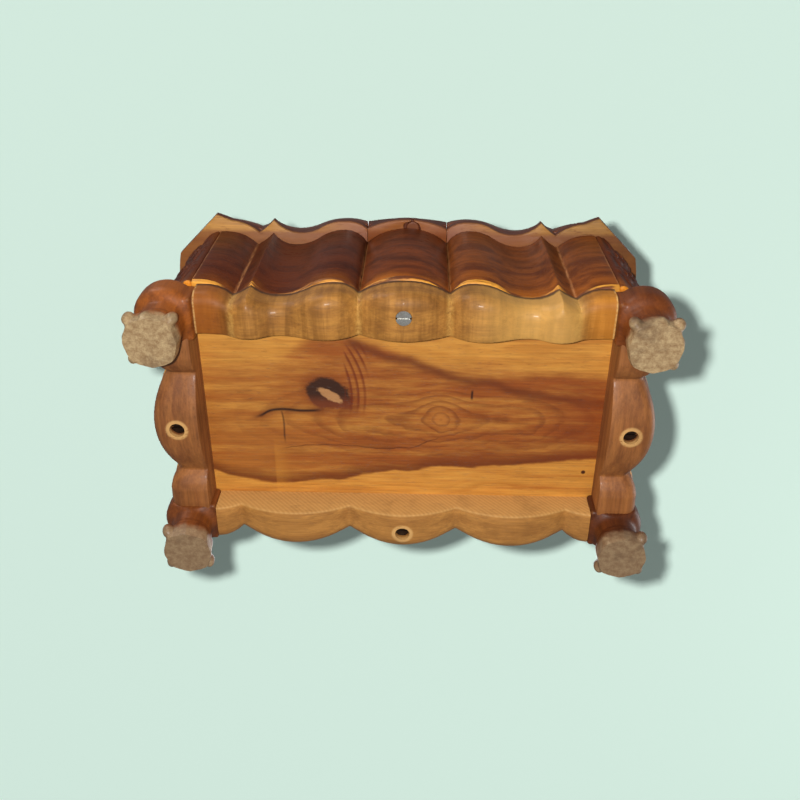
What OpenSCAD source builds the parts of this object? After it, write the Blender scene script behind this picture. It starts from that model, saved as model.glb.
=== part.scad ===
/* [Body] */
// Length of the box body over the side scallops
body_l = 226; // [200:1:280]
// Width of the box body over the front and back scallops
body_w = 134; // [120:1:170]
// Height of the body walls
body_h = 64.4; // [62:0.2:90]
// Thickness of the front and back walls behind their highest scallop
front_wall_t = 15; // [14:0.5:20]
// Thickness of the side walls behind their highest scallop
side_wall_t = 15; // [14:0.5:20]
// Half width of the centre scallop of the front, which is the sliding panel
slide_half = 19.4; // [18.5:0.1:24]
// Half width of the centre scallop of each end, one of which is the drawer front
drawer_half = 25.4; // [24:0.1:30]
// Gap round a piece that slides
slide_gap = 0.2; // [0.15:0.05:0.4]

/* [Base] */
// Height of the base from the soles of the feet to the top of the aprons
base_h = 33.5; // [32:0.5:45]
// Depth of an apron from its top to its lowest scallop
apron_h = 17.2; // [15:0.1:22]
// Thickness of an apron from front to back
apron_t = 21; // [18:0.5:24]
// How far the aprons stand in from the body above
apron_inset = 1.2; // [0.5:0.1:3]
// Side of the square leg block that fills each corner of the base
leg_block = 19.5; // [17:0.5:24]
// Radius of the rounded knee at the top of a leg
knee_r = 14; // [12:0.1:14.5]
// Radius of the ankle
ankle_r = 8.4; // [7:0.1:10]
// Radius of a foot
foot_r = 10.4; // [9:0.1:12]
// Height of a foot
foot_h = 9; // [7:0.5:12]
// Thickness of the bottom panel
bottom_t = 6; // [4:0.5:8]

/* [Lid] */
// How far the lid reaches past the body's highest scallops
overhang = 3.5; // [3:0.1:6]
// Thickness of the lid's lower moulding
moulding_t = 5; // [4.5:0.1:8]
// Thickness of the lid board
board_t = 5.5; // [4:0.1:9]
// Height of the raised field on top of the lid
field_t = 4; // [2:0.1:6]
// Gap between the walls and the closed lid
lid_gap = 0.3; // [0.2:0.05:0.5]

/* [Secret slide and drawer] */
// How far the front panel slides up
slide_travel = 45; // [40:1:45]
// How far the key drawer pulls out
drawer_travel = 38; // [25:1:40]
// Length of the drawer tray behind its front
tray_l = 46; // [42:1:60]
// Width of the drawer tray
tray_w = 38; // [30:1:44]
// Height of the drawer tray
tray_h = 15.5; // [12:0.5:16]
// Thickness of the tray's sides and bottom
tray_wall = 2.2; // [1.8:0.1:3]
// Height of the false floor's underside above the bottom panel
false_floor_z = 20; // [19:0.5:24]
// Thickness of the false floor
false_floor_t = 3; // [2:0.5:4]

/* [Lock and hinges] */
// Width of the lock case
lock_w = 30; // [26:1:34]
// Height of the lock case
lock_h = 29; // [26:1:30]
// Thickness of the lock case
lock_t = 7.5; // [6:0.5:9]
// How far the bolt rises
bolt_throw = 4.5; // [3:0.5:5]
// Length of the key from the bow to the tip of its shank
key_l = 34; // [28:1:36]
// Radius of the key's shank
key_shank_r = 1.5; // [1.2:0.1:1.8]
// Width of a hinge
hinge_w = 22; // [18:1:28]
// Thickness of a hinge leaf
leaf_t = 1.4; // [1:0.1:2]
// Radius of a hinge knuckle
knuckle_r = 2.2; // [2:0.1:2.5]
// Radius of a hinge pin
hinge_pin_r = 1; // [0.8:0.05:1.2]
// Running clearance round a hinge pin
pin_gap = 0.05; // [0.02:0.01:0.1]
// How far the lid opens, in degrees
lid_open = 100; // [80:1:100]

/* [Fasteners] */
// Radius of the head of a base screw
base_head_r = 3.3; // [3:0.1:4]
// Radius of the shank of a base screw
base_shank_r = 1.75; // [1.5:0.05:2]
// How far a base screw reaches into the wall above the apron
base_screw_grip = 7; // [5:0.5:8]
// How deep the heads of the back and end base screws are sunk in their aprons
screw_sink = 3; // [0:0.5:5]
// Radius of the shank of a small brass screw
small_shank_r = 0.8; // [0.6:0.05:1]
// Radius of the head of a small brass screw
small_head_r = 1.6; // [1.4:0.1:2]
// Radial gap round every screw
screw_gap = 0.1; // [0.05:0.05:0.2]

/* [Hidden] */
$fn = 48;
eps = 0.01;
// longest straight step along a curved outline
arc_step = 3.6;
half_l = body_l / 2;
half_w = body_w / 2;
inner_x = half_l - side_wall_t;
inner_y = half_w - front_wall_t;
// the corners are cut off diagonally between these two points
corner_x = half_l - 19.5;
corner_y = half_w - 15.5;
front_corner_drop = 2.6;
side_corner_drop = 6;
// where the corner posts meet the straight walls
post_x = corner_x - 2.5;
post_y = corner_y - 4.5;
wall_z = base_h;
wall_top = wall_z + body_h;
lid_z = wall_top + lid_gap;
board_z = lid_z + moulding_t;
field_z = board_z + board_t;

// Outlines: each knot is [distance from the middle, depth below the highest
// point, bulge of the arc to the next knot].
function front_at(f) = slide_half + f * (corner_x - slide_half);
function back_at(f) = f * corner_x;
function side_at(f) = drawer_half + f * (corner_y - drawer_half);
wall_front = [[0, 0, 1.9], [slide_half, 7.4, 1.7], [front_at(0.143), 1.1, 1],
    [front_at(0.31), 5, -1], [front_at(0.475), 8.9, -1.6], [front_at(0.618), 3, -0.4],
    [front_at(0.725), 9.1, 1.7], [front_at(0.92), 2.6, 0], [corner_x, front_corner_drop, 0]];
wall_back = [[0, 0.4, 1.6], [back_at(0.273), 6.4, 6], [back_at(0.824), 6.4, 1.3],
    [back_at(0.955), 2.2, 0], [corner_x, front_corner_drop, 0]];
wall_side = [[0, 0, 2], [drawer_half, 7.7, 1.6], [side_at(0.56), 2.7, 0.3],
    [corner_y, side_corner_drop, 0]];
mould_front = [[0, 0, 1.2], [slide_half, 4.6, 1.2], [front_at(0.15), 1.2, 0.9],
    [front_at(0.3), 4.2, -0.9], [front_at(0.45), 7.1, -1.5], [front_at(0.615), 0.9, -0.3],
    [front_at(0.715), 7.1, 1.2], [front_at(0.9), 1.2, 0.1], [corner_x - 0.6, -1.5, 0]];
mould_back = [[0, 0, 1.4], [back_at(0.273), 5.1, 5.1], [back_at(0.824), 5.1, 1],
    [back_at(0.93), 0.5, 0], [corner_x - 0.6, -1.5, 0]];
mould_side = [[0, 0, 1.9], [drawer_half, 7.2, 1.5], [side_at(0.56), 2.2, 0.2],
    [corner_y + 1.1, 4.1, 0]];
board_front = [[0, 2.1, 0.5], [slide_half, 3.9, 0.6], [front_at(0.155), 2.3, 0.6],
    [front_at(0.31), 5, -0.6], [front_at(0.46), 7.6, -1], [front_at(0.62), 3.5, -0.2],
    [front_at(0.71), 6.7, 0.6], [front_at(0.9), 3.3, 0.1], [corner_x - 0.3, 0.5, 0]];
board_back = [[0, 1.9, 0.8], [back_at(0.273), 4.9, 3], [back_at(0.824), 4.9, 0.6],
    [back_at(0.93), 2.3, 0], [corner_x - 0.3, 0.5, 0]];
board_side = [[0, 1.8, 1.4], [drawer_half, 7, 1.1], [side_at(0.56), 3.6, 0.2],
    [corner_y + 0.1, 5.3, 0]];
leg_x = half_l - 24.5;
leg_y = half_w - 22;
apron_front = [[0, 0, 1.6], [slide_half, 5.4, 1.4], [front_at(0.143), 1, 0.8],
    [front_at(0.305), 4.2, -0.8], [front_at(0.467), 7, -1.3], [front_at(0.618), 2.8, -0.3],
    [front_at(0.725), 7, 1.5], [front_at(0.9), 2.6, 0], [leg_x, 2.6, 0]];
apron_back = [[0, 0.6, 1.5], [back_at(0.273), 6.2, 5.6], [back_at(0.824), 6.2, 1.2],
    [leg_x - 0.5, 2, 0], [leg_x, 2, 0]];
apron_side = [[0, 0, 1.9], [drawer_half, 7.3, 1.5], [side_at(0.48), 2.6, 0.3],
    [leg_y, 2.8, 0]];
// depth here is how far each edge stops short of the lowest scallop
under_front = [[0, 0, 1.4], [slide_half, 7, 1.5], [front_at(0.185), 0.4, 0.6],
    [front_at(0.32), 2.6, -0.6], [front_at(0.455), 4.8, -0.6], [front_at(0.54), 2.6, 0.6],
    [front_at(0.63), 0.6, 0.6], [front_at(0.725), 3.2, -0.6], [front_at(0.82), 5.4, -0.2],
    [leg_x, 5.7, 0]];
under_back = [[0, 0, 1.6], [back_at(0.273), 7.3, 6.8], [back_at(0.824), 7.3, 0.8],
    [leg_x, 3, 0]];
under_side = [[0, 0, 1.8], [drawer_half, 7.3, 1.8], [side_at(0.48), 2.2, 0.2],
    [leg_y, 2.4, 0]];

// lock, slide and drawer places
panel_y = -(half_w - 8.4);
screw_y = half_w - 11;
screw_x = inner_x + 2.6;
web_x = inner_x + 5.3;
runner_x = 12;
runner_neck_w = 4;
runner_foot_w = 8;
runner_h = 8.5;
runner_z = wall_z + 10;
runner_foot_y = panel_y + 1.8;
runner_foot_t = 2.4;
lock_z = wall_top - lock_h - 1;
keyhole_z = lock_z + 5;
keyhole_r = 2.1;
keyhole_slot_w = 1.8;
keyhole_slot_h = 5;
escutcheon_w = 13;
escutcheon_h = 17;
escutcheon_t = 0.8;
pin_r = 0.5;
bolt_w = 10;
bolt_h = 18;
bolt_t = 3.5;
bolt_y = -inner_y + 2;
bolt_z = wall_top - 1.2 - bolt_h;
strike_w = 26;
strike_d = 8;
strike_t = 1.2;
strike_pocket = 5;
strike_gap = 0.9;
strike_mortise_gap = 2.2;
tray_z = wall_z + bottom_t + 2.8;
tray_gap = 0.4;
floor_z = wall_z + bottom_t + false_floor_z;
guide_w = 4;
stop_t = 5;
bow_r = 7;
bow_wire_r = 1.6;
key_collar_r = 2;
key_z = tray_z + tray_wall + key_collar_r + 0.1;
hinge_x = back_at(0.548);
hinge_y = half_w + 1.6;
leaf_back_y = half_w + 0.2 - leaf_t;
leaf_drop = 15;
lid_leaf_reach = 16;
knuckle_len = (hinge_w - 0.6) / 3;
small_screw_l = 5.5;
field_l = inner_x - 14;
field_w = inner_y - 8;
field_cut = 9;

// Points of the arc from p up to, but not including, q
function arc(p, q, bulge) = abs(bulge) < eps ? [p] :
    let (d = q - p, c = norm(d), a = 2 * atan(2 * bulge / c), r = c / (2 * sin(a)))
    let (u = d / c, n = [u[1], -u[0]], m = (p + q) / 2, steps = ceil(c / arc_step))
    [for (i = [0:steps - 1])
        let (t = 2 * i / steps - 1)
        m + u * r * sin(a * t) + n * r * (cos(a * t) - cos(a))];
function knot(k, reach) = [k[0], k[1] - reach];
function half_edge(knots, reach) = concat(
    [for (i = [0:len(knots) - 2])
        each arc(knot(knots[i], reach), knot(knots[i + 1], reach), knots[i][2])],
    [knot(knots[len(knots) - 1], reach)]);
function mirrored(points) = [for (i = [len(points) - 1:-1:1]) [-points[i][0], points[i][1]]];
function edge(knots, reach) = let (h = half_edge(knots, reach)) concat(mirrored(h), h);

// A strip with one scalloped edge, facing -Y, and a straight edge at y = -inner
module strip(knots, reach, inner) {
    last = knots[len(knots) - 1][0];
    polygon(concat(edge(knots, reach), [[last, -inner], [-last, -inner]]));
}

// The whole outline, scalloped on four sides, with its corners cut off
module outline(front, back, side, reach_x, reach_y) {
    right = edge(side, reach_x);
    rear = edge(back, reach_y);
    polygon(concat(edge(front, reach_y), [for (p = right) [-p[1], p[0]]],
        [for (p = rear) [-p[0], -p[1]]], [for (p = right) [p[1], -p[0]]]));
}

// Keeps what lies in a box given by two corners
module within(low, high) {
    intersection() {
        children();
        translate(low) cube(high - low);
    }
}

// Slotted wood screw with its countersunk head at z = 0 and its shank up +Z
module screw(head_r, shank_r, len) {
    head_h = head_r - shank_r;
    slot_d = head_h * 0.45;
    difference() {
        union() {
            cylinder(h = head_h, r1 = head_r, r2 = shank_r);
            cylinder(h = len - shank_r, r = shank_r);
            translate([0, 0, len - shank_r]) cylinder(h = shank_r, r1 = shank_r, r2 = shank_r * 0.25);
        }
        translate([-head_r, -head_r * 0.13, -eps]) cube([2 * head_r, head_r * 0.26, slot_d]);
    }
}

// The hole that such a screw sits in
module screw_hole(head_r, shank_r, len) {
    head_h = head_r - shank_r;
    wide = head_r + screw_gap;
    translate([0, 0, -eps]) cylinder(h = head_h + eps, r1 = wide + eps, r2 = shank_r + screw_gap);
    translate([0, 0, -eps]) cylinder(h = len + 0.5, r = shank_r + screw_gap);
}

// ---- base ----
base_screw_l = apron_h + base_screw_grip;
base_screw_z = base_h - apron_h + 0.2;
// each is [x, y, how deep its head is sunk]
BASE_SCREWS = [[0, -screw_y, 0], [0, screw_y, screw_sink], [screw_x, 0, screw_sink],
    [-screw_x, 0, screw_sink]];

module base_screw_holes() {
    for (p = BASE_SCREWS) translate([p[0], p[1], base_screw_z + p[2]]) {
        screw_hole(base_head_r, base_shank_r, base_screw_l - p[2]);
        translate([0, 0, -p[2] - 2]) cylinder(h = p[2] + 2, r = base_head_r + screw_gap);
    }
}

// plan shape and underside shape of one apron, both facing -Y
module apron_blank(plan, under, reach) {
    outer = reach - apron_inset;
    intersection() {
        translate([0, 0, base_h - apron_h - 1]) linear_extrude(apron_h + 1)
            strip(plan, outer, outer - apron_t);
        translate([0, 0, base_h]) rotate([90, 0, 0]) linear_extrude(reach)
            strip(under, apron_h, 0);
    }
}

module front_apron() {
    color("#b98238") difference() {
        apron_blank(apron_front, under_front, half_w);
        base_screw_holes();
    }
}

module back_apron() {
    color("#a87430") difference() {
        rotate([0, 0, 180]) apron_blank(apron_back, under_back, half_w);
        base_screw_holes();
    }
}

module end_apron(turn) {
    color("#8a5228") difference() {
        rotate([0, 0, turn]) apron_blank(apron_side, under_side, half_l);
        base_screw_holes();
    }
}

module left_apron() { end_apron(-90); }
module right_apron() { end_apron(90); }

// One leg for the corner at +X, -Y: block, knee, ankle and foot
leg_axis = [leg_x + 11.5, -(leg_y + 8.5)];
knee_h = 8;
module leg_shape() {
    knee_z = base_h - knee_h;
    ankle_z = foot_h + 3;
    translate([leg_axis[0], leg_axis[1], 0]) {
        cylinder(h = 2, r1 = foot_r - 1, r2 = foot_r);
        translate([0, 0, 2]) cylinder(h = foot_h - 2, r = foot_r);
        translate([0, 0, foot_h]) cylinder(h = ankle_z - foot_h, r1 = foot_r, r2 = ankle_r);
    }
    within([leg_x, -half_w, ankle_z], [half_l + overhang, -leg_y, base_h])
        translate([leg_axis[0], leg_axis[1], 0]) {
            translate([0, 0, ankle_z - 1]) cylinder(h = 1, r = ankle_r);
            translate([0, 0, ankle_z]) cylinder(h = knee_z - ankle_z, r1 = ankle_r, r2 = knee_r);
            translate([0, 0, knee_z]) cylinder(h = knee_h, r = knee_r);
        }
    translate([leg_x, -leg_y - leg_block, base_h - apron_h + 3])
        cube([leg_block, leg_block, apron_h - 3]);
}

module leg(flip_x, flip_y) {
    color("#9c5a28") mirror([flip_x, 0, 0]) mirror([0, flip_y, 0]) leg_shape();
}

module front_left_leg() { leg(1, 0); }
module front_right_leg() { leg(0, 0); }
module back_left_leg() { leg(1, 1); }
module back_right_leg() { leg(0, 1); }

module base_screws() {
    color("#9a9a94") for (p = BASE_SCREWS) translate([p[0], p[1], base_screw_z + p[2]])
        screw(base_head_r, base_shank_r, base_screw_l - p[2]);
}

module bottom_panel() {
    color("#c8923f") translate([-inner_x, -inner_y, wall_z])
        cube([2 * inner_x, 2 * inner_y, bottom_t]);
}

// ---- body walls ----
module wall_strip(knots, reach, inner) {
    translate([0, 0, wall_z]) linear_extrude(body_h) strip(knots, reach, inner);
}

module front_wall(low_x, high_x) {
    color("#5c2e1a") within([low_x, -half_w - 1, wall_z], [high_x, 0, wall_top])
        wall_strip(wall_front, half_w, inner_y);
}

module front_left_wall() { front_wall(-post_x, -slide_half); }
module front_right_wall() { front_wall(slide_half, post_x); }

module keyhole(depth) {
    rotate([-90, 0, 0]) {
        cylinder(h = depth, r = keyhole_r);
        translate([-keyhole_slot_w / 2, 0, 0]) cube([keyhole_slot_w, keyhole_slot_h, depth]);
    }
}

module escutcheon_plate(grow, proud) {
    translate([-escutcheon_w / 2 - grow, panel_y - proud, keyhole_z - 10 - grow])
        cube([escutcheon_w + 2 * grow, escutcheon_t + proud, escutcheon_h + 2 * grow]);
}

module at_escutcheon_pins() {
    for (z = [-8, 5]) translate([0, panel_y, keyhole_z + z]) rotate([-90, 0, 0]) children();
}

module runner_slot(x) {
    slot_h = wall_top - runner_z;
    neck = runner_neck_w / 2 + slide_gap;
    foot = runner_foot_w / 2 + slide_gap;
    translate([x - neck, panel_y - eps, runner_z - 0.4])
        cube([2 * neck, runner_foot_y - panel_y + 1, slot_h + 1]);
    translate([x - foot, runner_foot_y - slide_gap, runner_z - 0.4])
        cube([2 * foot, runner_foot_t + 2 * slide_gap, slot_h + 1]);
}

module lock_panel() {
    color("#7a4424") difference() {
        translate([-slide_half, panel_y, wall_z])
            cube([2 * slide_half, -inner_y - panel_y, body_h]);
        for (x = [-runner_x, runner_x]) runner_slot(x);
        escutcheon_plate(0, 1);
        translate([0, panel_y - 1, keyhole_z]) keyhole(front_wall_t);
        at_escutcheon_pins() cylinder(h = 4.2, r = pin_r + screw_gap);
        base_screw_holes();
    }
}

module at_hinges() {
    for (x = [-hinge_x, hinge_x]) translate([x, 0, 0]) children();
}

module knuckle_clearance(len) {
    translate([-len / 2, hinge_y, wall_top]) rotate([0, 90, 0])
        cylinder(h = len, r = knuckle_r + 0.4);
}

module wall_leaf_screw_holes() {
    for (x = [-7, 7], z = [-10.5, -5]) translate([x, half_w + 0.2, wall_top + z])
        rotate([90, 0, 0]) screw_hole(small_head_r, small_shank_r, small_screw_l);
}

module back_wall() {
    color("#5c2e1a") difference() {
        within([-post_x, 0, wall_z], [post_x, half_w + 1, wall_top])
            rotate([0, 0, 180]) wall_strip(wall_back, half_w, inner_y);
        at_hinges() {
            translate([-hinge_w / 2, leaf_back_y, wall_top - leaf_drop])
                cube([hinge_w, 10, leaf_drop + 1]);
            knuckle_clearance(hinge_w);
            wall_leaf_screw_holes();
        }
        base_screw_holes();
    }
}

module left_wall() {
    color("#5c2e1a") difference() {
        within([-half_l - 1, -post_y, wall_z], [0, post_y, wall_top])
            rotate([0, 0, -90]) wall_strip(wall_side, half_l, inner_x);
        base_screw_holes();
    }
}

module right_wall() {
    color("#5c2e1a") difference() {
        within([0, -post_y, wall_z], [half_l + 1, post_y, wall_top])
            rotate([0, 0, 90]) wall_strip(wall_side, half_l, inner_x);
        translate([web_x, -drawer_half, wall_z - 1])
            cube([side_wall_t, 2 * drawer_half, body_h + 2]);
        translate([inner_x - 1, -tray_w / 2 - tray_gap, tray_z - tray_gap])
            cube([side_wall_t, tray_w + 2 * tray_gap, tray_h + 2 * tray_gap]);
        base_screw_holes();
    }
}

// Corner post for the corner at +X, -Y
module corner_shape() {
    front_y = -(half_w - front_corner_drop);
    side_x = half_l - side_corner_drop;
    side_knot = wall_side[len(wall_side) - 2];
    share = (post_y - side_knot[0]) / (corner_y - side_knot[0]);
    seam_x = half_l - side_knot[1] - share * (side_corner_drop - side_knot[1]);
    translate([0, 0, wall_z]) linear_extrude(body_h)
        polygon([[post_x, front_y], [corner_x, front_y], [side_x, -corner_y],
            [seam_x, -post_y], [inner_x, -post_y], [inner_x, -inner_y], [post_x, -inner_y]]);
}

module corner(flip_x, flip_y) {
    color("#52281a") mirror([flip_x, 0, 0]) mirror([0, flip_y, 0]) corner_shape();
}

module front_left_corner() { corner(1, 0); }
module front_right_corner() { corner(0, 0); }
module back_left_corner() { corner(1, 1); }
module back_right_corner() { corner(0, 1); }

// ---- inside the body ----
module false_floor() {
    color("#b07a3c") translate([-inner_x, -inner_y, floor_z])
        cube([2 * inner_x, 2 * inner_y, false_floor_t]);
}

guide_h = tray_h + 2;
guide_y = tray_w / 2 + tray_gap;
module drawer_guides() {
    color("#a06a34") for (side = [0, 1]) mirror([0, side, 0])
        translate([inner_x - tray_l, guide_y, wall_z + bottom_t]) cube([tray_l, guide_w, guide_h]);
}

tray_back_x = web_x + slide_gap - tray_l;
module drawer_stop() {
    color("#a06a34") translate([tray_back_x - 0.4 - stop_t, -guide_y, wall_z + bottom_t])
        cube([stop_t, 2 * guide_y, guide_h]);
}

// ---- sliding front panel ----
slide_low = wall_z + 0.4;
slide_side = slide_half - slide_gap;
module front_slide() {
    color("#5c2e1a") difference() {
        within([-slide_side, -half_w - 1, slide_low], [slide_side, panel_y - slide_gap, wall_top])
            wall_strip(wall_front, half_w, 0);
        for (x = [-runner_x, runner_x])
            translate([x - runner_neck_w / 2, panel_y - slide_gap - 1.5, runner_z])
                cube([runner_neck_w, 3, runner_h]);
    }
}

module slide_runners() {
    neck_y = panel_y - slide_gap - 1.5;
    color("#caa05a") for (x = [-runner_x, runner_x]) {
        translate([x - runner_neck_w / 2, neck_y, runner_z])
            cube([runner_neck_w, runner_foot_y - neck_y + eps, runner_h]);
        translate([x - runner_foot_w / 2, runner_foot_y, runner_z])
            cube([runner_foot_w, runner_foot_t, runner_h]);
    }
}

// the middle of the lid's front edge, which rides on the sliding panel
module slide_cap() {
    lid_reach = half_w + overhang;
    color("#6b3a1e") difference() {
        within([-slide_side, -lid_reach - 1, wall_top],
            [slide_side, panel_y - slide_gap, field_z]) {
            translate([0, 0, wall_top]) linear_extrude(board_z - wall_top)
                strip(mould_front, lid_reach, 0);
            translate([0, 0, board_z]) linear_extrude(board_t)
                strip(board_front, lid_reach, 0);
        }
        translate([0, -half_w - 0.9, wall_top - eps]) cylinder(h = 3, r = 1.9);
    }
}

// ---- key drawer ----
module drawer_front() {
    side = drawer_half - slide_gap;
    color("#5c2e1a") within([web_x + slide_gap, -side, slide_low],
        [half_l + 1, side, wall_top]) rotate([0, 0, 90]) wall_strip(wall_side, half_l, 0);
}

tray_front_x = web_x + slide_gap;
tray_y = tray_w / 2;
module drawer_bottom() {
    color("#c49a5c") translate([tray_back_x, -tray_y, tray_z])
        cube([tray_front_x - tray_back_x, tray_w, tray_wall]);
}

module tray_side(side) {
    color("#c49a5c") mirror([0, side, 0])
        translate([tray_back_x, tray_y - tray_wall, tray_z + tray_wall])
            cube([tray_front_x - tray_back_x, tray_wall, tray_h - tray_wall]);
}

module drawer_left_side() { tray_side(1); }
module drawer_right_side() { tray_side(0); }

module drawer_back() {
    color("#c49a5c") translate([tray_back_x, -tray_y + tray_wall, tray_z + tray_wall])
        cube([tray_wall, tray_w - 2 * tray_wall, tray_h - tray_wall]);
}

// Flat brass key lying in the tray, its bow towards the drawer front
module key() {
    bow_x = tray_front_x - 2 - bow_r - bow_wire_r;
    tip_x = bow_x + bow_r + bow_wire_r - key_l;
    color("#c9a24a") translate([0, 0, key_z]) {
        translate([bow_x, 0, 0]) rotate_extrude() translate([bow_r, 0]) circle(r = bow_wire_r);
        translate([tip_x, 0, 0]) rotate([0, 90, 0])
            cylinder(h = bow_x - bow_r - tip_x, r = key_shank_r);
        translate([bow_x - bow_r - 3, 0, 0]) rotate([0, 90, 0]) cylinder(h = 2, r = key_collar_r);
        translate([tip_x + 1, 0, -0.7]) cube([5, 5.2, 1.4]);
    }
}

// ---- lock ----
module escutcheon() {
    color("#b8923e") difference() {
        escutcheon_plate(-0.1, 0);
        translate([0, panel_y - 1, keyhole_z]) keyhole(4);
        at_escutcheon_pins() translate([0, 0, -1]) cylinder(h = 4.2, r = pin_r + screw_gap);
    }
}

module escutcheon_pins() {
    color("#a5812f") at_escutcheon_pins() cylinder(h = 4, r = pin_r);
}

module lock_screw_places() {
    for (x = [-lock_w / 2 + 3.2, lock_w / 2 - 3.2], z = [3.5, lock_h - 3.5])
        translate([x, -inner_y + lock_t, lock_z + z]) rotate([90, 0, 0]) children();
}

lock_wall = 1.5;
module lock_case() {
    color("#b8923e") difference() {
        translate([-lock_w / 2, -inner_y, lock_z]) cube([lock_w, lock_t, lock_h]);
        translate([-bolt_w / 2 - 0.3, bolt_y - 0.3, bolt_z - 2])
            cube([bolt_w + 0.6, bolt_t + 0.6, lock_h]);
        translate([-bolt_w / 2 - 0.3, bolt_y - 0.3, lock_z + lock_wall])
            cube([bolt_w + 0.6, bolt_t + 0.6, bolt_z - lock_z - lock_wall]);
        translate([0, -inner_y - 1, keyhole_z]) keyhole(4);
        lock_screw_places() screw_hole(small_head_r, small_shank_r, lock_t + 1);
    }
}

module lock_screws() {
    color("#a5812f") lock_screw_places()
        screw(small_head_r, small_shank_r, lock_t);
}

// rests drawn down inside the case
module lock_bolt() {
    color("#8f8f88") difference() {
        translate([-bolt_w / 2, bolt_y, bolt_z]) cube([bolt_w, bolt_t, bolt_h]);
        translate([-2, bolt_y - 1, bolt_z - eps]) cube([4, bolt_t + 2, 4]);
    }
}

strike_y = bolt_y + bolt_t / 2;
module strike_screw_places() {
    for (x = [-strike_w / 2 + 3.2, strike_w / 2 - 3.2])
        translate([x, strike_y, lid_z]) children();
}

// the hole that the raised bolt enters, from z up
module bolt_hole(gap, z, h) {
    translate([-bolt_w / 2 - gap, bolt_y - gap, z])
        cube([bolt_w + 2 * gap, bolt_t + 2 * gap, h]);
}

module strike_plate() {
    color("#b8923e") difference() {
        translate([-strike_w / 2, strike_y - strike_d / 2, lid_z]) cube([strike_w, strike_d, strike_t]);
        bolt_hole(strike_gap, lid_z - 1, 4);
        strike_screw_places() screw_hole(small_head_r, small_shank_r, 3);
    }
}

module strike_screws() {
    color("#a5812f") strike_screw_places() screw(small_head_r, small_shank_r, 4.5);
}

// what the lock and the hinges need cut out of the lid
module lid_cuts() {
    translate([-strike_w / 2 - 0.1, strike_y - strike_d / 2 - 0.1, lid_z - eps])
        cube([strike_w + 0.2, strike_d + 0.2, strike_t + eps]);
    bolt_hole(strike_mortise_gap, lid_z - eps, strike_pocket);
    strike_screw_places() cylinder(h = 5, r = small_shank_r + screw_gap);
    at_hinges() {
        translate([-hinge_w / 2 - 0.1, hinge_y - lid_leaf_reach - 0.1, lid_z - eps])
            cube([hinge_w + 0.2, lid_leaf_reach + 0.1, leaf_t + 0.1]);
        knuckle_clearance(hinge_w + 0.4);
        lid_leaf_screw_places() cylinder(h = 5, r = small_shank_r + screw_gap);
    }
}

// ---- lid ----
mould_inner_x = inner_x - 2;
mould_inner_y = inner_y - 9;
module moulding(low, high) {
    color("#6b3a1e") difference() {
        within([low[0], low[1], lid_z], [high[0], high[1], board_z])
            translate([0, 0, lid_z]) linear_extrude(moulding_t) difference() {
                outline(mould_front, mould_back, mould_side, half_l + overhang, half_w + overhang);
                square([2 * mould_inner_x, 2 * mould_inner_y], center = true);
            }
        translate([-slide_half, -2 * half_w, lid_z - 1])
            cube([2 * slide_half, 2 * half_w + panel_y, moulding_t + 2]);
        lid_cuts();
    }
}

module lid_front_left_moulding() { moulding([-2 * half_l, -2 * half_w], [0, -mould_inner_y]); }
module lid_front_right_moulding() { moulding([0, -2 * half_w], [2 * half_l, -mould_inner_y]); }
module lid_back_moulding() { moulding([-2 * half_l, mould_inner_y], [2 * half_l, 2 * half_w]); }
module lid_left_moulding() {
    moulding([-2 * half_l, -mould_inner_y], [-mould_inner_x, mould_inner_y]);
}
module lid_right_moulding() {
    moulding([mould_inner_x, -mould_inner_y], [2 * half_l, mould_inner_y]);
}

module lid_board() {
    color("#643520") difference() {
        translate([0, 0, board_z]) linear_extrude(board_t)
            outline(board_front, board_back, board_side, half_l + overhang, half_w + overhang);
        translate([-slide_half, -2 * half_w, board_z - 1])
            cube([2 * slide_half, 2 * half_w + panel_y, board_t + 2]);
    }
}

module lid_raised_field() {
    color("#6f3c20") translate([0, 0, field_z]) linear_extrude(field_t) difference() {
        square([2 * field_l, 2 * field_w], center = true);
        for (x = [-1, 1], y = [-1, 1]) translate([x * field_l, y * field_w]) circle(r = field_cut);
    }
}

// ---- hinges ----
module knuckle(from, to) {
    translate([from, hinge_y, wall_top]) rotate([0, 90, 0]) cylinder(h = to - from, r = knuckle_r);
}

module pin_bore() {
    translate([-hinge_w, hinge_y, wall_top]) rotate([0, 90, 0])
        cylinder(h = 2 * hinge_w, r = hinge_pin_r + pin_gap);
}

module wall_leaf(x) {
    inner = knuckle_len / 2 + 0.3;
    color("#b8923e") translate([x, 0, 0]) difference() {
        union() {
            translate([-hinge_w / 2, leaf_back_y, wall_top - leaf_drop])
                cube([hinge_w, leaf_t, leaf_drop]);
            knuckle(-hinge_w / 2, -inner);
            knuckle(inner, hinge_w / 2);
        }
        knuckle_clearance(2 * inner);
        pin_bore();
        wall_leaf_screw_holes();
    }
}

module left_hinge_wall_leaf() { wall_leaf(-hinge_x); }
module right_hinge_wall_leaf() { wall_leaf(hinge_x); }

module lid_leaf_screw_places() {
    for (x = [-7, 7], y = [-12.5, -6.5]) translate([x, hinge_y + y, lid_z]) children();
}

module lid_leaf(x) {
    mid = knuckle_len / 2;
    color("#b8923e") translate([x, 0, 0]) difference() {
        union() {
            translate([-hinge_w / 2, hinge_y - lid_leaf_reach, lid_z])
                cube([hinge_w, lid_leaf_reach, leaf_t]);
            knuckle(-mid, mid);
        }
        for (side = [0, 1]) mirror([side, 0, 0])
            translate([mid, 0, 0]) translate([hinge_w / 2, 0, 0]) knuckle_clearance(hinge_w);
        pin_bore();
        lid_leaf_screw_places() screw_hole(small_head_r, small_shank_r, 4.5);
    }
}

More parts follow.
